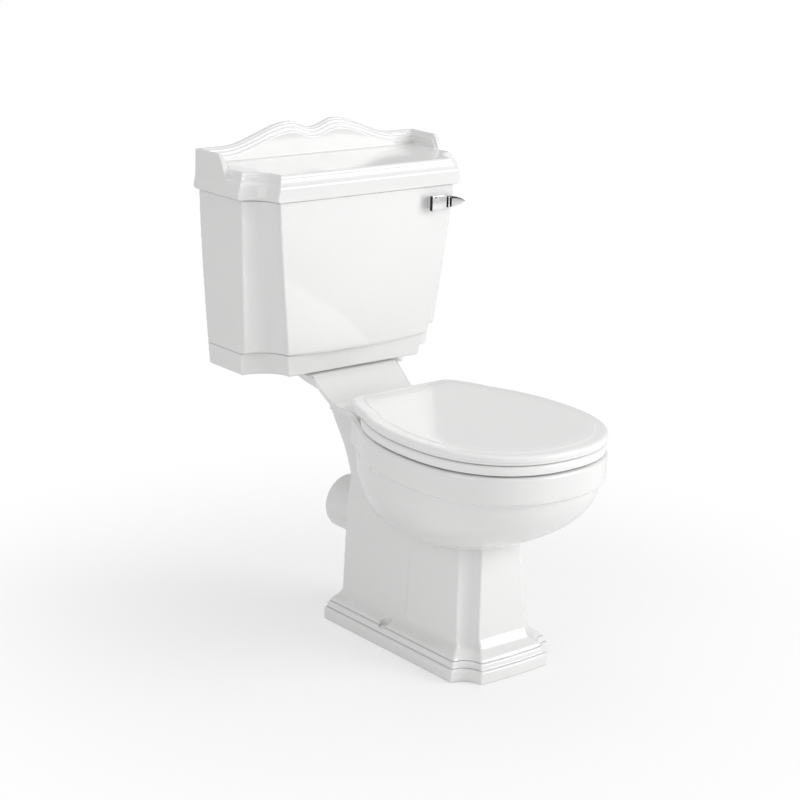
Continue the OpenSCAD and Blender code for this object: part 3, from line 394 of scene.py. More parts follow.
def bowl_level(a):
    """One level of the bowl's outside, at angle a below the rim band: it leans back as it narrows."""
    c = math.cos(math.radians(a))
    mid = lerp(BOWL_LOW_Y, -RIM_MID, c ** 1.3)
    front = lerp(BOWL_LOW_Y, RIM_FRONT - 9, c ** 1.08)
    back = lerp(BOWL_LOW_Y, 262, c ** 0.15)
    z = RIM_Z - BAND_H - BOWL_H * math.sin(math.radians(a))
    return at_z(oval((RIM_W - 7) * c, -mid, front - mid, mid - back, RIM_POWER), z)


def shelf_section(y, top, edge, belly, top_w):
    """The shelf cut across at y: a flat top with a thin edge over a rounded belly."""
    low_w = top_w - 9
    a = np.radians(np.linspace(0, 90, 9))
    belly_arc = np.column_stack([-COLUMN_W * np.cos(a), edge - 2 + (belly - edge) * np.sin(a)])
    deck = [[0, top], [-top_w + 3, top], [-top_w, top - 3], [-low_w, edge], [-COLUMN_W - 4, edge - 1]]
    half = np.vstack([deck, belly_arc])
    ring = np.vstack([half, half[-2:0:-1] * [-1, 1]])
    return np.column_stack([ring[:, 0], np.full(len(ring), float(y)), ring[:, 1]])


def shelf():
    w, top = SHELF_W, SHELF_Z
    slope = lambda t: lerp(RIM_Z, top, t)
    rows = [(-22, top - 2, top - 10, top - 28, w - 4), (-26, top, top - 11, top - 34, w),
            (-60, top, top - 11, top - 50, w), (-105, top, top - 11, top - 60, w),
            (-146, top, top - 17, top - 72, w), (-154, top - 1.5, top - 19, top - 76, w),
            (-162, top - 7, top - 21, top - 78, w - 0.5),
            (-180, slope(0.52), slope(0.52) - 12, top - 84, w - 1.5),
            (-196, slope(0.25), slope(0.25) - 9, top - 90, w - 3),
            (-212, slope(0.08), RIM_Z - 6, top - 94, w - 4),
            (-232, RIM_Z - 0.2, RIM_Z - 8, top - 98, w - 4.5), (-262, RIM_Z - 1, RIM_Z - 10, top - 102, w - 6)]
    return loft("shelf", [shelf_section(*row) for row in rows])


def column():
    def section(back, half_w, z):
        front = 352
        mid, half_l = (back + front) / 2, (front - back) / 2
        return at_z(oval(half_w, -mid, half_l, half_l, 4, 96), z)
    w, b, t = COLUMN_W + 6, PED_BACK, PED_TOP
    rows = [(b + 1, w + 6, t - 50), (b - 2, w + 4, t - 18), (b - 10, w + 1, t + 6), (b - 27, w, 264),
            (b - 38, w, 289), (b - 51, w, 312), (b - 78, w, 346), (b - 97, w, 371), (b - 116, w, 394)]
    return loft("column", [section(*row) for row in rows])


def coved(half_w, back, front, w, bow=0.0, depth=None):
    """A rectangle with its two front corners hollowed by a quarter of an oval and a bowed front."""
    depth, steps, spans = depth or w, 20, 40
    a = np.radians(90 - 90 * np.arange(steps + 1) / steps)
    left = np.vstack([[[-half_w, back]], np.column_stack([-half_w + w * np.cos(a), front + depth * np.sin(a)])])
    u = -1 + 2 * np.arange(1, spans) / spans
    face = np.column_stack([u * (half_w - w), front - bow * (1 - u * u)])
    return np.vstack([left, face, left[::-1] * [-1, 1]])


def pedestal_ring(z, half_w, front, back):
    """A ring with hollow front corners, whose front part stands slightly proud of its sides."""
    base = coved(half_w, -back, -front, 27)[1:-1]
    w = half_w - 1.5
    left = [[-w, -back], [-w, -412], [-half_w, -418]]
    right = [[half_w, -418], [w, -412], [w, -back]]
    return at_z(np.vstack([left, base, right]), z)


def pedestal():
    w, f, b = PED_W, PED_FRONT, PED_BACK
    rows = [(PLINTH_H - 4, w + 1, f + 1, b + 1), (PLINTH_H + 3, w - 1, f - 1, b), (94, w - 2.5, f - 4, b - 1),
            (130, w - 5, f - 7.5, b - 3), (170, w - 7.5, f - 11, b - 5), (217, w - 10, f - 15, b - 7),
            (262, w - 16, f - 50, b - 7)]
    return loft("pedestal", [pedestal_ring(*row) for row in rows])


# height of each step of the plinth's moulding and how far it stands in
PLINTH_PROFILE = [(0, 1.5), (1.5, 0), (21.3, 0), (22.4, 1.6), (23.2, 4.2), (25, 5), (32, 5.8), (33.2, 7),
                  (34, 9.4), (37, 10.6), (40, 13), (43, 18.5), (46.5, 24), (51, 28.5), (PLINTH_H, 33)]


def plinth_outline(t):
    return coved(PLINTH_W - t, -PLINTH_BACK - t * 0.4, -PLINTH_FRONT + t, 35 - t * 0.22, 4 - t * 0.1)


def plinth():
    return loft("plinth", [at_z(plinth_outline(t), z) for z, t in PLINTH_PROFILE])


def swept_tube(name, path, grow):
    """A round tube along points in the plane of symmetry, given as y, z and radius."""
    k = np.radians(-np.arange(48) * 7.5)
    rings = []
    for i, (y, z, r) in enumerate(path):
        a, b = path[max(i - 1, 0)], path[min(i + 1, len(path) - 1)]
        h = math.atan2(b[1] - a[1], b[0] - a[0])
        r += grow
        across = r * np.sin(k)
        rings.append(np.column_stack([r * np.cos(k), y - across * math.sin(h), z + across * math.cos(h)]))
    return loft(name, rings)


SUMP_Z, CHINA = 86.0, 13.0
HOLE_W, HOLE_FRONT, HOLE_BACK = RIM_W - 62, RIM_FRONT - 66, 352.0
# inside of the bowl: half width, front, back and height over the sump
BOWL_SECTIONS = [(34, 464, 398, 0), (40, 478, 388, 14), (44, 490, 382, 54), (50, 508, 376, 94),
                 (62, 542, 366, 130), (92, 606, 348, 170), (126, 658, 336, 210), (147, 686, 328, 248),
                 (150, 690, 326, 264)]
# the trap's way: y, z and radius
TRAP = [(-428, 128, 33), (-392, 128, 36), (-358, 136, 36), (-335, 156, 36), (-325, 186, 36), (-317, 216, 36),
        (-304, 242, 36), (-287, 250, 36), (-269, 243, 36), (-254, 225, 36), (-240, 202, 36), (-218, 182, 36),
        (-188, OUTLET_Z, 36)]
FLUSH_WAY = [(-WORKS_Y, 408, 19), (-150, 388, 19), (-215, 363, 19), (-270, 358, 19), (-340, 358, 19)]
SCREW_X, SCREW_Y, BOLT_X, HINGE_X, HINGE_Y, HINGE_Z = 95.0, -380.0, 74.0, 75.0, 285.0, 404.0


def bowl_space(grow):
    """The bowl's inside, or with grow its china as well."""
    rings = []
    for w, front, back, z in BOWL_SECTIONS:
        mid, half_l = -(front + back) / 2, (front - back) / 2 + grow
        rings.append(at_z(oval(w + grow, mid, half_l, half_l, 2.15, 96), SUMP_Z + z - grow * 0.8))
    return loft("space", rings)


def hollow_underside():
    """The open foot, which leaves the sump, the trap and two screw bosses standing."""
    w, f, b = PED_W - CHINA, PED_FRONT - CHINA, PED_BACK + CHINA
    foot = [(14, 14, 14, 36, -1), (18, 16, 16, 36, 16), (32, 26, 33, 34, 34)]
    rings = [at_z(coved(PLINTH_W - side, -PLINTH_BACK - back, -PLINTH_FRONT + front, cove), z)
             for side, back, front, cove, z in foot]
    rings += [at_z(coved(w - 3, -b, -f + 3, 30), PLINTH_H), at_z(coved(w - 11, -b, -f + 15, 30), 176)]
    hollow = loft("hollow", rings)
    socket = cylinder_y("socket", 0, OUTLET_Z, SPIGOT_R + 3, -170, -280)
    keep = [bowl_space(CHINA), swept_tube("trap", TRAP, CHINA), socket]
    keep += [cylinder_z("boss", s * SCREW_X, SCREW_Y, 16, -1, PLINTH_H - 1) for s in (-1, 1)]
    return combined(hollow, keep, "DIFFERENCE")


def rim_table():
    low, rim = RIM_Z - BAND_H, rim_outline()
    return loft("pan", [at_z(shrunk(rim, 7), low - 3), at_z(shrunk(rim, 1), low), at_z(rim, low + 3),
                        at_z(rim, RIM_Z - 7), at_z(rim, RIM_Z - 6)])


def rim_top():
    neck = neck_outline()
    return loft("rim_top", [at_z(shrunk(neck, 6), RIM_Z - 9), at_z(shrunk(neck, 1), RIM_Z - 7.5),
                            at_z(neck, RIM_Z - 5), at_z(shrunk(neck, 1.2), RIM_Z - 1.5),
                            at_z(shrunk(neck, 4.5), RIM_Z)])


def bowl_mouth():
    """The opening in the rim, with a rounded lip."""
    mid, half_l = -(HOLE_FRONT + HOLE_BACK) / 2, (HOLE_FRONT - HOLE_BACK) / 2
    rows = [(4, -46), (0, -34), (0, -6), (-2, -2), (-6, 0.5), (-6, 6)]
    return loft("mouth", [at_z(oval(HOLE_W - t, mid, half_l - t, half_l - t, 2.2, 128), RIM_Z + z)
                          for t, z in rows])


def pan_holes():
    """The outlet's bore, the coupling's seat, the flush way and the holes for bolts, screws and hinges."""
    holes = [cylinder_y("bore", 0, OUTLET_Z, 40, -140, -188),
             cylinder_z("recess", 0, -WORKS_Y, 45, SHELF_Z - 16, SHELF_Z + 5),
             cylinder_z("tail", 0, -WORKS_Y, 29.5, SHELF_Z - 34, SHELF_Z + 6),
             swept_tube("flush_way", FLUSH_WAY, 0)]
    for s in (-1, 1):
        holes += [cylinder_z("bolt_hole", s * BOLT_X, -WORKS_Y, 7, SHELF_Z - 40, SHELF_Z + 10),
                  cylinder_z("spot_face", s * BOLT_X, -WORKS_Y, 12.5, SHELF_Z - 30, SHELF_Z - 9.5),
                  cylinder_z("screw_hole", s * SCREW_X, SCREW_Y, 4, -5, 55),
                  cylinder_z("screw_recess", s * SCREW_X, SCREW_Y, 10.5, 27, 87),
                  cylinder_z("hinge_hole", s * HINGE_X, -HINGE_Y, 6.5, RIM_Z - 60, RIM_Z + 10),
                  cylinder_z("hinge_pocket", s * HINGE_X, -HINGE_Y, 13.5, PED_TOP, RIM_Z - 16)]
    return holes


def shelf_line(side):
    """The fine line along the shelf's side, down its slope and onto the rim."""
    slope = lambda t: lerp(RIM_Z, SHELF_Z, t)
    rows = [(4, -60, SHELF_Z), (4, -146, SHELF_Z), (4.5, -162, SHELF_Z - 7), (5.5, -180, slope(0.52)),
            (7, -196, slope(0.25)), (8, -212, slope(0.08)), (8.5, -232, RIM_Z), (8, -262, RIM_Z),
            (3, -290, RIM_Z), (-6, -312, RIM_Z)]
    return wire("shelf_line", [(side * (SHELF_W - x), y, z) for x, y, z in rows], 1.3)


def build_pan():
    pan = rim_table()
    bowl = loft("bowl", [bowl_level(a) for a in [87] + list(range(84, -3, -3))])
    spigot = cylinder_y("spigot", 0, OUTLET_Z, SPIGOT_R, -OUTLET_BACK, -OUTLET_BACK - SPIGOT_L)
    china = [rim_top(), bowl, shelf(), column(), pedestal(), plinth(), swept_tube("trap", TRAP, CHINA), spigot]
    combined(pan, china, "UNION")
    trap_end = [(-178, OUTLET_Z, 36)]
    spaces = [bowl_space(0), bowl_mouth(), hollow_underside(), swept_tube("trap", TRAP + trap_end, 0)]
    combined(pan, spaces + pan_holes(), "DIFFERENCE")
    softened(pan, 1.8, 6)
    grooves = [strip("plinth_line", plinth_outline(-2), plinth_outline(t), low, high)
               for t, low, high in ((6.9, 22.9, 24.1), (11.8, 33.9, 35.0))]
    return grooved(pan, grooves + [shelf_line(s) for s in (-1, 1)])


dressed(build_pan(), "pan_and_cistern", "vitreous_china", "pan")

# ---------------------------------------------------------------- cistern
CIST_Z, CIST_H, TOP_W, BASE_W, TOP_D, BASE_D = 438.0, 319.0, 239.0, 212.0, 182.0, 156.0
COVE_TOP_W, COVE_BASE_W, COVE_D = 44.0, 60.0, 50.0
CIST_WALL, PROUD, LEDGE_H, BOW, CIST_BACK = 11.0, 10.0, 42.0, 9.0, 4.0
CIST_TOP_Z, FLOOR_Z = CIST_Z + CIST_H, CIST_Z + CIST_WALL + 1
VALVE_X, WALL_SCREW_X = 156, 150
LEVER_X, LEVER_Z = TOP_W - COVE_TOP_W - 47, CIST_TOP_Z - 28.5


def flank(t):
    """How far the sides have leaned out at share t of the height."""
    return 1 - (1 - t) ** 1.3


def cove_w(z):
    return lerp(COVE_BASE_W, COVE_TOP_W, (z - CIST_Z) / CIST_H)


def cistern_w(z):
    return lerp(BASE_W, TOP_W, flank((z - CIST_Z) / CIST_H))


def panel_y(z):
    return -lerp(BASE_D + PROUD - 3, TOP_D, flank((z - CIST_Z) / CIST_H))


def band_y(z):
    return -BASE_D - 2 * (z - CIST_Z) / LEDGE_H


def panel_ring(z):
    t = (CIST_TOP_Z - z) / (CIST_H - LEDGE_H)
    return at_z(coved(cistern_w(z), -CIST_BACK, panel_y(z), cove_w(z), BOW * float(smooth(t)), COVE_D), z)


def band_outline(z):
    return coved(cistern_w(z), -CIST_BACK, band_y(z), cove_w(z) + 4, 0, COVE_D + 4)


def band_ring(z):
    return at_z(band_outline(z), z)


def sagged(ring, sag):
    """The ring with its front lowered towards the middle."""
    w = ring[:, 0].max() - COVE_BASE_W
    low = (np.abs(ring[:, 0]) < w) & (ring[:, 1] < -CIST_BACK - 20)
    ring = ring.copy()
    ring[low, 2] -= sag * (1 - (ring[low, 0] / w) ** 2)
    return ring


def inner_outline(z, front):
    return coved(cistern_w(z) - CIST_WALL, -CIST_BACK - CIST_WALL, front + CIST_WALL, cove_w(z), 0, COVE_D)


def inner_ring(z, front):
    return at_z(inner_outline(z, front), z)


def build_cistern():
    ledge = CIST_Z + LEDGE_H
    floor_ring = inner_outline(FLOOR_Z, band_y(FLOOR_Z))
    rings = [at_z(inset(floor_ring, 6, -80, 190, 66), FLOOR_Z), inner_ring(FLOOR_Z + 8, band_y(FLOOR_Z)),
             inner_ring(ledge + 6, band_y(ledge)), inner_ring(ledge + 60, panel_y(ledge + 60))]
    rings += [inner_ring(z, panel_y(z)) for z in np.linspace(ledge + 100, CIST_TOP_Z, 8)]
    rings += [panel_ring(z) for z in np.linspace(CIST_TOP_Z, ledge + 3, 40)[:-1]]
    brink = coved(cistern_w(ledge), -CIST_BACK, panel_y(ledge) + 2, cove_w(ledge) + 1, BOW, COVE_D + 1)
    rings += [sagged(panel_ring(ledge + 3), 2.5), sagged(at_z(brink, ledge), 2.5),
              sagged(band_ring(ledge - 1), 2), band_ring(CIST_Z + LEDGE_H / 2), band_ring(CIST_Z + 3),
              at_z(inset(band_outline(CIST_Z), 2.5, -80, 205, 76), CIST_Z)]
    tank = loft("cistern", rings)
    low, high = CIST_Z - 5, CIST_Z + 35
    holes = [cylinder_z("tail_hole", 0, -WORKS_Y, 28.5, low, high),
             cylinder_z("valve_hole", VALVE_X, -WORKS_Y, 12.7, low, high),
             cylinder_y("lever_hole", LEVER_X, LEVER_Z, 8, -150, -205)]
    for s in (-1, 1):
        holes.append(cylinder_z("bolt_hole", s * BOLT_X, -WORKS_Y, 6, low, high))
        holes.append(cylinder_y("screw_hole", s * WALL_SCREW_X, CIST_TOP_Z - 42, 4, 5, -30))
    combined(tank, holes, "DIFFERENCE")
    softened(tank, 1.5, 3)

    def top_line(d):
        return coved(TOP_W - d, -CIST_BACK, -TOP_D + d, COVE_TOP_W, 0, COVE_D)

    def ledge_line(d):
        return coved(cistern_w(ledge) - d, -CIST_BACK, band_y(ledge) + d, cove_w(ledge) + 4, 0, COVE_D + 4)
    groove_z = ledge - 2.6 + sagged(at_z(ledge_line(0), 0), 2.2)[:, 2]
    return grooved(tank, [strip("seam", top_line(-2), top_line(3.5), CIST_TOP_Z - 1.5, CIST_TOP_Z + 1),
                          strip("ledge", ledge_line(-1.5), ledge_line(2.6), groove_z, groove_z + 1.6)])


dressed(build_cistern(), "pan_and_cistern", "vitreous_china", "cistern")

# ---------------------------------------------------------------- cistern lid
LID_W, LID_D, LID_H, LID_Z = 249.0, 188.0, 46.0, CIST_TOP_Z + 0.25
CREST_END, CREST_LOBE, LOBE_X, WAVE_END, RETURN_L = 24.0, 35.0, 50.0, 192.0, 98.0
CREST_LAYERS = [(0, 8), (3.5, 12), (8, 16), (14, 20)]  # drop below the crest and thickness of each step
RETURN_LAYERS = [(0, 8, RETURN_L), (6, 12, RETURN_L - 2)]  # drop, thickness and length
LID_TOP, END_IN = LID_Z + LID_H, 3.5
END_W = LID_W - END_IN


def lid_ring(t, z, side=END_IN):
    """A ring of the lid, drawn in by t at the front, by t + side at the sides and hardly at the wall."""
    little = t * 0.15
    cove, depth = COVE_TOP_W + 1 - little, COVE_D + 4 - little
    return at_z(coved(LID_W - t - side, -little, -LID_D + t, cove, 0, depth), z)


def under_ring(t, z):
    """A ring of the rim under the lid, which drops into the cistern's mouth."""
    wall = CIST_WALL + t
    return at_z(coved(TOP_W - wall, -CIST_BACK - wall, -TOP_D + wall, COVE_TOP_W, 0, COVE_D), z)


def crest_rise(x):
    """Height of the gallery's wave over its ends: two lobes with a dip between them."""
    a = abs(x)
    if a < LOBE_X:
        return CREST_LOBE * (1 - 0.37 * math.cos(math.radians(90 * a / LOBE_X)) ** 2)
    return CREST_LOBE * (1 - float(smooth((a - LOBE_X) / (WAVE_END - LOBE_X)))) if a < WAVE_END else 0.0


def extruded(name, outline, axis, low, high):
    """A flat outline pushed along an axis: outline columns are the other two axes in order."""
    outline = np.asarray(outline, float)
    n = len(outline)
    verts = np.vstack([np.insert(outline, axis, v, axis=1) for v in (low, high)])
    faces = [(i, (i + 1) % n, n + (i + 1) % n, n + i) for i in range(n)]
    faces += [tuple(range(n))[::-1], tuple(range(n, 2 * n))]
    obj = mesh_object(name, verts, faces)
    bm = bmesh.new()
    bm.from_mesh(obj.data)
    bmesh.ops.triangulate(bm, faces=[f for f in bm.faces if len(f.verts) > 4])
    bm.to_mesh(obj.data)
    bm.free()
    return obj


def crest_layer(drop, t):
    xs = np.linspace(-END_W, END_W, 241)
    top = [[x, LID_TOP + CREST_END - drop + crest_rise(x) * (1 - drop * 0.004)] for x in xs]
    return extruded("crest", [[-END_W, LID_Z + 30]] + top + [[END_W, LID_Z + 30]], 1, -t, 0)


def return_layer(side, drop, t, length):
    top, fall = LID_TOP + CREST_END - drop, 30
    curve = [[-lerp(length - fall, length, k), lerp(top, LID_Z + 29, float(smooth(k)))]
             for k in np.linspace(0, 1, 33)]
    outline = [[0, LID_Z + 26], [0, top]] + curve + [[-length, LID_Z + 26]]
    low, high = (-END_W, -END_W + t) if side < 0 else (END_W - t, END_W)
    return extruded("return", outline, 0, low, high)


def build_lid():
    rings = [under_ring(t, z) for t, z in
             ((9, LID_TOP - 16), (7, LID_Z - 7), (3, LID_Z - 7), (2.5, LID_Z))]
    rings += [lid_ring(0, LID_Z + z, side) for z, side in ((0, 5), (3, 1.2), (7, 0), (16, 1.6), (25, END_IN))]
    rings += [lid_ring(t, LID_Z + z) for t, z in
              ((1.5, 28), (4.5, 30), (7, 34), (8, 39), (9.5, 40), (10.5, LID_H - 2.5), (13, LID_H))]
    lid = loft("cistern_lid", rings)
    layers = [crest_layer(*layer) for layer in CREST_LAYERS]
    layers += [return_layer(side, *layer) for side in (-1, 1) for layer in RETURN_LAYERS]
    combined(lid, layers, "UNION")
    return softened(lid, 1.2, 3)


dressed(build_lid(), "tank_lid", "vitreous_china", "cistern_lid")

# ---------------------------------------------------------------- seat and seat lid
SEAT_W, SEAT_FRONT, EAR_W, BACK_EDGE_X = 182.0, 716.0, 129.0, 60.0
RING_Z, RING_T, COVER_Z, COVER_TOP = 395.0, 16.0, 412.5, 429.5
SEAT_BACK, RING_BACK, SEAT_L = HINGE_Y - 7, HINGE_Y + 25, SEAT_FRONT + RIM_MID
KNUCKLE_R, KNUCKLE_W, POST_W, SIDE_GAP, PIN_R = 7.5, 13.0, 15.0, 0.5, 4.08
RING_KNUCKLE_X = HINGE_X - POST_W / 2 - SIDE_GAP - KNUCKLE_W
COVER_KNUCKLE_X = HINGE_X + POST_W / 2 + SIDE_GAP


def front_arc(half_w, front):
    a, power = np.radians(np.linspace(0, 90, 61)), 2 / RIM_POWER
    return np.column_stack([half_w * np.sin(a) ** power, RIM_MID - (front + RIM_MID) * np.cos(a) ** power])


def seat_outline(front, sides, tail, back):
    """A whole outline from its front arc, its side, its rounded corner and its straight back edge."""
    edge = np.column_stack([np.linspace(BACK_EDGE_X, 0, 14)[:-1], np.full(13, -back)])
    return mirrored(np.vstack([front, sides, tail[1:-1], edge]))


def rounded(points, r):
    """An open line of points with a curve of size r in place of each corner."""
    points = [np.asarray(p, float) for p in points]
    out = [points[0]]
    for a, b, c in zip(points, points[1:], points[2:]):
        u, v = a - b, c - b
        cut = min(r, np.linalg.norm(u) * 0.45, np.linalg.norm(v) * 0.45)
        p, q = b + u / np.linalg.norm(u) * cut, b + v / np.linalg.norm(v) * cut
        out += [(1 - k) ** 2 * p + 2 * k * (1 - k) * b + k * k * q for k in np.linspace(0, 1, 8)]
    out.append(points[-1])
    return np.array(out)


def cover_outline():
    back = [[rim_x(y) - 1, y] for y in np.linspace(RIM_MID, FLARE_Y, 17)[1:]]
    tail = rounded([back[-1], [140, -337], [131, -314], [EAR_W - 9, -294], [EAR_W - 21, -SEAT_BACK],
                    [BACK_EDGE_X, -SEAT_BACK]], 12)
    return seat_outline(front_arc(SEAT_W, SEAT_FRONT), back, tail, SEAT_BACK)


def ring_outline():
    back = [[rim_x(y) - 2, y] for y in np.linspace(RIM_MID, -RING_BACK - 16, 33)[1:]]
    tail = rounded([back[-1], [EAR_W - 17, -RING_BACK - 3], [EAR_W - 28, -RING_BACK],
                    [BACK_EDGE_X, -RING_BACK]], 9)
    return seat_outline(front_arc(SEAT_W - 1, SEAT_FRONT - 1.5), back, tail, RING_BACK)


def hinge_ring(x, r):
    a = np.radians(np.arange(48) * 7.5)
    return np.column_stack([np.full(48, x), -HINGE_Y + r * np.cos(a), HINGE_Z + r * np.sin(a)])


def knuckle(low, high):
    r, edge = KNUCKLE_R, 0.8
    return loft("knuckle", [hinge_ring(low, r - edge), hinge_ring(low + edge, r), hinge_ring(high - edge, r),
                            hinge_ring(high, r - edge)])


def pin_hole(low, high):
    return loft("pin_hole", [hinge_ring(low, PIN_R), hinge_ring(high, PIN_R)])


def block(name, low, high):
    x0, y0, z0 = low
    x1, y1, z1 = high
    square = lambda z: np.array([[x0, y0, z], [x1, y0, z], [x1, y1, z], [x0, y1, z]], float)
    return loft(name, [square(z0), square(z1)])


def hinged(obj, knuckle_x, web_low, web_high):
    """Adds a bored knuckle and a web on either side; the web's low and high corners are y, z pairs."""
    adds, cuts = [], []
    for s in (-1, 1):
        x0, x1 = (knuckle_x, knuckle_x + KNUCKLE_W) if s > 0 else (-knuckle_x - KNUCKLE_W, -knuckle_x)
        adds += [knuckle(x0, x1), block("web", (x0, *web_low), (x1, *web_high))]
        cuts.append(pin_hole(x0 - 1, x1 + 1))
    combined(obj, adds, "UNION")
    combined(obj, cuts, "DIFFERENCE")
    return shaded(obj)


def build_seat_lid():
    outline, low, top = cover_outline(), COVER_Z, COVER_TOP
    rows = [(24, top - 7), (8, top - 8), (6.5, low + 0.5), (3.5, low), (2.4, low + 0.5), (2, low + 1.5),
            (2, low + 4.6), (1.4, low + 5.3), (0.3, low + 5.9), (0, low + 6.8), (0, low + 10.5),
            (0.4, low + 11.9), (1.5, top - 3.6), (3.2, top - 2.5), (5.5, top - 1.8), (9, top - 1.4),
            (19.5, top - 1.15), (20.5, top - 0.9), (21.5, top - 0.45), (23, top - 0.25), (45, top - 0.1),
            (90, top)]
    cover = loft("seat_lid", [at_z(inset(outline, t, RIM_MID, SEAT_W, SEAT_L), z) for t, z in rows])
    return hinged(cover, COVER_KNUCKLE_X, (-HINGE_Y - 18, HINGE_Z - 2), (-HINGE_Y + 3, top - 5))


def build_seat_ring():
    """A ring whose inner edge has one point for each point of its outer edge."""
    o, z, t = ring_outline(), RING_Z, RING_T
    mid, half_l = -(HOLE_FRONT + HOLE_BACK) / 2 - 2, (HOLE_FRONT - HOLE_BACK) / 2 - 8
    length = np.linalg.norm(np.diff(np.vstack([o, o[:1]]), axis=0), axis=1)
    turn = np.radians(-90 + 360 * np.concatenate([[0], np.cumsum(length)[:-1]]) / length.sum())
    c, s = np.cos(turn), np.sin(turn)

    def outer(k):
        return inset(o, k, RIM_MID, SEAT_W, SEAT_L)

    def hole(k):
        return np.column_stack([(HOLE_W - 6 - k) * np.sign(c) * np.abs(c) ** 0.9,
                                mid + (half_l - k) * np.sign(s) * np.abs(s) ** 0.9])
    outside = [(2, z), (0.6, z + 1), (0, z + 3), (0, z + t - 5), (0.4, z + t - 3.2), (1.5, z + t - 1.6),
               (3, z + t - 0.5), (5, z + t)]
    inside = [(-22, z + t), (-14, z + t - 0.4), (-8, z + t - 1.6), (-3, z + t - 4), (-0.8, z + t - 6),
              (0, z + t - 8), (0, z + 3), (-0.8, z + 1), (-3, z)]
    rings = [at_z(outer(k), h) for k, h in outside] + [at_z(hole(k), h) for k, h in inside]
    ring = loft("seat_ring", rings, closed=True)
    return hinged(ring, RING_KNUCKLE_X, (-RING_BACK - 8, HINGE_Z - 4.5), (-HINGE_Y, HINGE_Z + 4.5))


dressed(build_seat_ring(), "seat", "seat_plastic", "seat_ring")
dressed(build_seat_lid(), "seat_cover", "seat_plastic", "seat_lid")


# ---------------------------------------------------------------- flush lever
ROSE_Y = -panel_y(LEVER_Z + 18) + 0.6
HUB_Y, HUB_T, HUB_W, HUB_H, HANDLE_L, BLADE_START = ROSE_Y + 5.4, 11.0, 34.0, 27.0, 67.0, 13.6
NOTCH_IN, NOTCH_DROP, SPINDLE_R = 7.5, 2.6, 4.0
# the blade: share of its length, lower and upper edge over the lever's axis
BLADE = [(0.0, -10.6, 8.8), (0.15, -10.6, 8.2), (0.42, -9.4, 6.2), (0.72, -7.6, 2.9), (0.92, -5.4, -0.8),
         (1.0, -3.4, -2.6)]


def plate(name, x0, x1, low, high, y0, y1, bevel):
    """An upright plate from y0 forward to y1, bevelled round its front."""
    def ring(y, t):
        x, z = (x0 + t, x1 - t), (low + t, high - t)
        return np.array([[x[0], y, z[0]], [x[1], y, z[0]], [x[1], y, z[1]], [x[0], y, z[1]]])
    steps = [(y0, 0.0), (y1 + bevel, 0.0)]
    steps += [(y1 + bevel * (1 - math.sin(k)), bevel * (1 - math.cos(k))) for k in np.radians([30, 60, 90])]
    return loft(name, [ring(*step) for step in steps])


def blade(x, y, z):
    """The blade tapers to a point and has a bevel along its upper edge."""
    rings = []
    for t, low, high in BLADE:
        y0, y1 = y - lerp(1.0, 2.0, t), y - lerp(8.5, 4.2, t)
        mid = (low + high) / 2
        section = [(y0, low), (y0, high), (lerp(y0, y1, 0.45), high), (y1, lerp(high, mid, 0.34)),
                   (y1 - 0.3, mid), (y1, lerp(low, mid, 0.16)), (lerp(y0, y1, 0.7), low)]
        px = lerp(x + HUB_W / 2 + BLADE_START, x + HANDLE_L, t)
        rings.append(np.array([[px, py, z + pz] for py, pz in section]))
    return loft("blade", rings)


def build_lever_handle():
    x, z, y = LEVER_X, LEVER_Z, -HUB_Y
    left, right, low, high = x - HUB_W / 2, x + HUB_W / 2, z - HUB_H / 2, z + HUB_H / 2
    handle = plate("flush_handle", left, right, low, high, y - 4.5, y - HUB_T, 1.2)
    adds = [plate("collar", left + 13, right - 2, low + 4, high - 4, y, y - 7, 0.6),
            plate("neck", right - 1, right + 16, z - 10, z + 8.5, y - 0.5, y - 5.5, 0.6),
            plate("rib", right + 6.0, right + 9.2, z - 10.6, z + 9, y - 0.5, y - 8.5, 0.5), blade(x, y, z)]
    combined(handle, adds, "UNION")
    notch = cylinder_y("notch", left + NOTCH_IN, high - NOTCH_DROP, 1.6, y - HUB_T + 3, y - HUB_T - 1, 32)
    spindle = cylinder_y("spindle_hole", x, z, SPINDLE_R, y + 1, y - 7, 48)
    combined(handle, [notch, spindle], "DIFFERENCE")
    return shaded(handle, 30)


def paint_lever_shade(obj):
    """Painted shade and reflection: the neck between boss and blade and the notch get a near-black chrome as
    painted shade, and the blade's upper bevel gets it as a painted reflection of a dark wall.
    """
    edge = HUB_W / 2
    obj.data.materials.append(MATERIALS["painted_shade_chrome"])
    for poly in obj.data.polygons:
        cx, cy, cz = np.array(poly.center) / MM - [LEVER_X, OFFSET - HUB_Y, LEVER_Z]
        # painted shade on the recessed neck and the notch, painted reflection on the upper bevel
        deep = edge - 0.1 < cx < edge + BLADE_START + 0.2 and cy > -6.5
        bevel = cx > edge + BLADE_START and poly.normal.z > 0.35
        from_notch = math.hypot(cx + edge - NOTCH_IN, cz - HUB_H / 2 + NOTCH_DROP)
        notch = from_notch < 1.8 and -HUB_T + 0.3 < cy < -6
        if deep or bevel or notch:
            poly.material_index = len(obj.data.materials) - 1


lever_handle = dressed(build_lever_handle(), "lever", "chrome_plate", "lever_handle")
paint_lever_shade(lever_handle)


# ---------------------------------------------------------------- stage
FLOOR_FADE = (0.3, 1.1, 0.5, 1.0)  # metres from the middle, and the share of plain white at either
WHITE, SKY_STRENGTH, FLOOR_DROP = (1, 1, 1, 1), 0.55, 0.0005


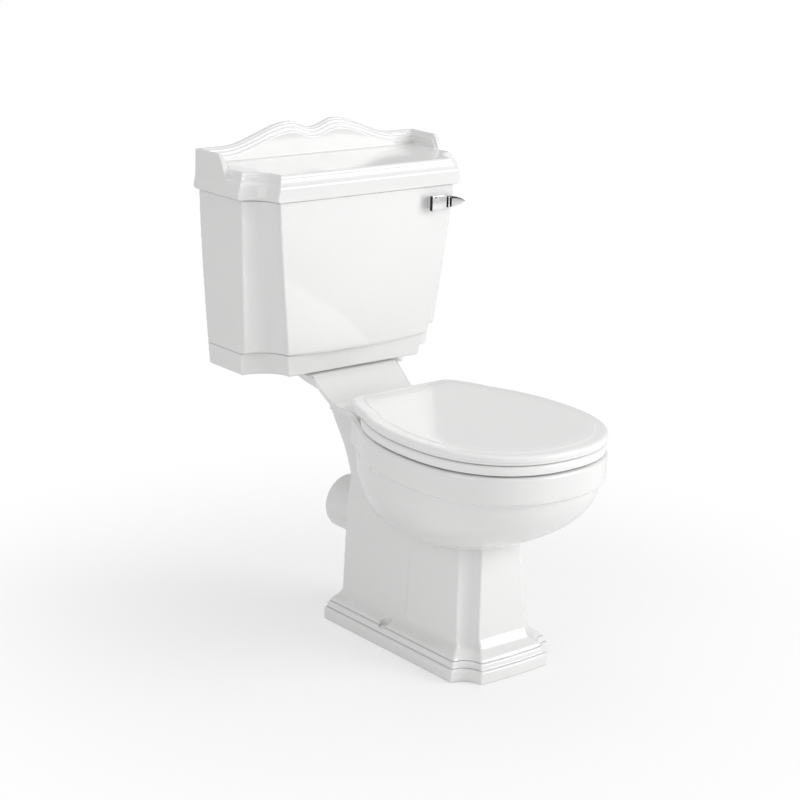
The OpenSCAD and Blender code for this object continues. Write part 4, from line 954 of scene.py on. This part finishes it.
def floor_material():
    """A white floor that takes the shadow near the object and runs out into the white backdrop."""
    mat, nodes, links, bsdf = new_material("pale_floor")
    tone = ramp(nodes, links, noise(nodes, links, 1.2), [(0.3, 0.90), (0.7, 0.91)])
    links.new(tone, bsdf.inputs["Base Color"])
    bsdf.inputs["Roughness"].default_value = 0.9
    bsdf.inputs["Specular IOR Level"].default_value = 0.0
    coords = nodes.new("ShaderNodeTexCoord")
    length = nodes.new("ShaderNodeVectorMath")
    length.operation = "LENGTH"
    links.new(coords.outputs["Object"], length.inputs[0])
    fade = remapped(nodes, links, length.outputs["Value"], FLOOR_FADE)
    fade.interpolation_type = "SMOOTHSTEP"
    light_path = nodes.new("ShaderNodeLightPath")
    share = nodes.new("ShaderNodeMath")
    share.operation = "MULTIPLY"
    links.new(fade.outputs["Result"], share.inputs[0])
    links.new(light_path.outputs["Is Camera Ray"], share.inputs[1])
    white = nodes.new("ShaderNodeEmission")
    blend = nodes.new("ShaderNodeMixShader")
    links.new(share.outputs["Value"], blend.inputs["Fac"])
    links.new(bsdf.outputs["BSDF"], blend.inputs[1])
    links.new(white.outputs["Emission"], blend.inputs[2])
    links.new(blend.outputs["Shader"], nodes["Material Output"].inputs["Surface"])
    return mat


bpy.ops.mesh.primitive_plane_add(size=30, location=(0, 0, -FLOOR_DROP))
floor = bpy.context.object
floor.name = "floor"
floor.data.materials.append(floor_material())

world = bpy.data.worlds.new("studio")
bpy.context.scene.world = world
world.use_nodes = True
wn, wl = world.node_tree.nodes, world.node_tree.links
background = wn["Background"]
background.inputs["Color"].default_value = WHITE
background.inputs["Strength"].default_value = SKY_STRENGTH
seen = wn.new("ShaderNodeBackground")
seen.inputs["Color"].default_value = WHITE
seen.inputs["Strength"].default_value = 1.0
path = wn.new("ShaderNodeLightPath")
mix = wn.new("ShaderNodeMixShader")
wl.new(path.outputs["Is Camera Ray"], mix.inputs["Fac"])
wl.new(background.outputs["Background"], mix.inputs[1])
wl.new(seen.outputs["Background"], mix.inputs[2])
wl.new(mix.outputs["Shader"], wn["World Output"].inputs["Surface"])


def area_light(name, place, aim, size, size_y, power):
    data = bpy.data.lights.new(name, "AREA")
    data.shape = "RECTANGLE"
    data.size = size
    data.size_y = size_y
    data.energy = power
    obj = bpy.data.objects.new(name, data)
    bpy.context.scene.collection.objects.link(obj)
    obj.location = place
    obj.rotation_euler = (Vector(aim) - Vector(place)).to_track_quat("-Z", "Y").to_euler()


area_light("key_light", (2.2, -2.8, 1.8), (0, 0, 0.45), 2.4, 2.0, 80)
area_light("left_light", (-2.6, -0.6, 1.4), (0, 0, 0.45), 1.6, 2.0, 12)
area_light("top_light", (0, 0.1, 3.0), (0, 0, 0.4), 2.2, 2.2, 12)

# ---------------------------------------------------------------- camera
AZ, EL, ROLL = math.radians(-40.2), math.radians(16.2), math.radians(2.2)
DISTANCE, TARGET = 3.5988, (-34.3, -310.5 + OFFSET, 422.2)
IMAGE_PX, FOCAL_PX, CENTRE_PX, SENSOR = 800, 2070.8, (394.8, 397.4), 36
back = Vector((math.sin(AZ) * math.cos(EL), -math.cos(AZ) * math.cos(EL), math.sin(EL)))
right = Vector((math.cos(AZ), math.sin(AZ), 0))
up = back.cross(right)
rolled_right = right * math.cos(ROLL) + up * math.sin(ROLL)
rolled_up = up * math.cos(ROLL) - right * math.sin(ROLL)
cam_data = bpy.data.cameras.new("camera")
cam = bpy.data.objects.new("camera", cam_data)
bpy.context.scene.collection.objects.link(cam)
place = Matrix.Translation(Vector(TARGET) * MM + back * DISTANCE)
cam.matrix_world = place @ Matrix((rolled_right, rolled_up, back)).transposed().to_4x4()
cam_data.sensor_width = SENSOR
cam_data.lens = FOCAL_PX * SENSOR / IMAGE_PX
cam_data.shift_x = (IMAGE_PX / 2 - CENTRE_PX[0]) / IMAGE_PX
cam_data.shift_y = (CENTRE_PX[1] - IMAGE_PX / 2) / IMAGE_PX
bpy.context.scene.camera = cam
bpy.context.scene.view_settings.view_transform = "Standard"
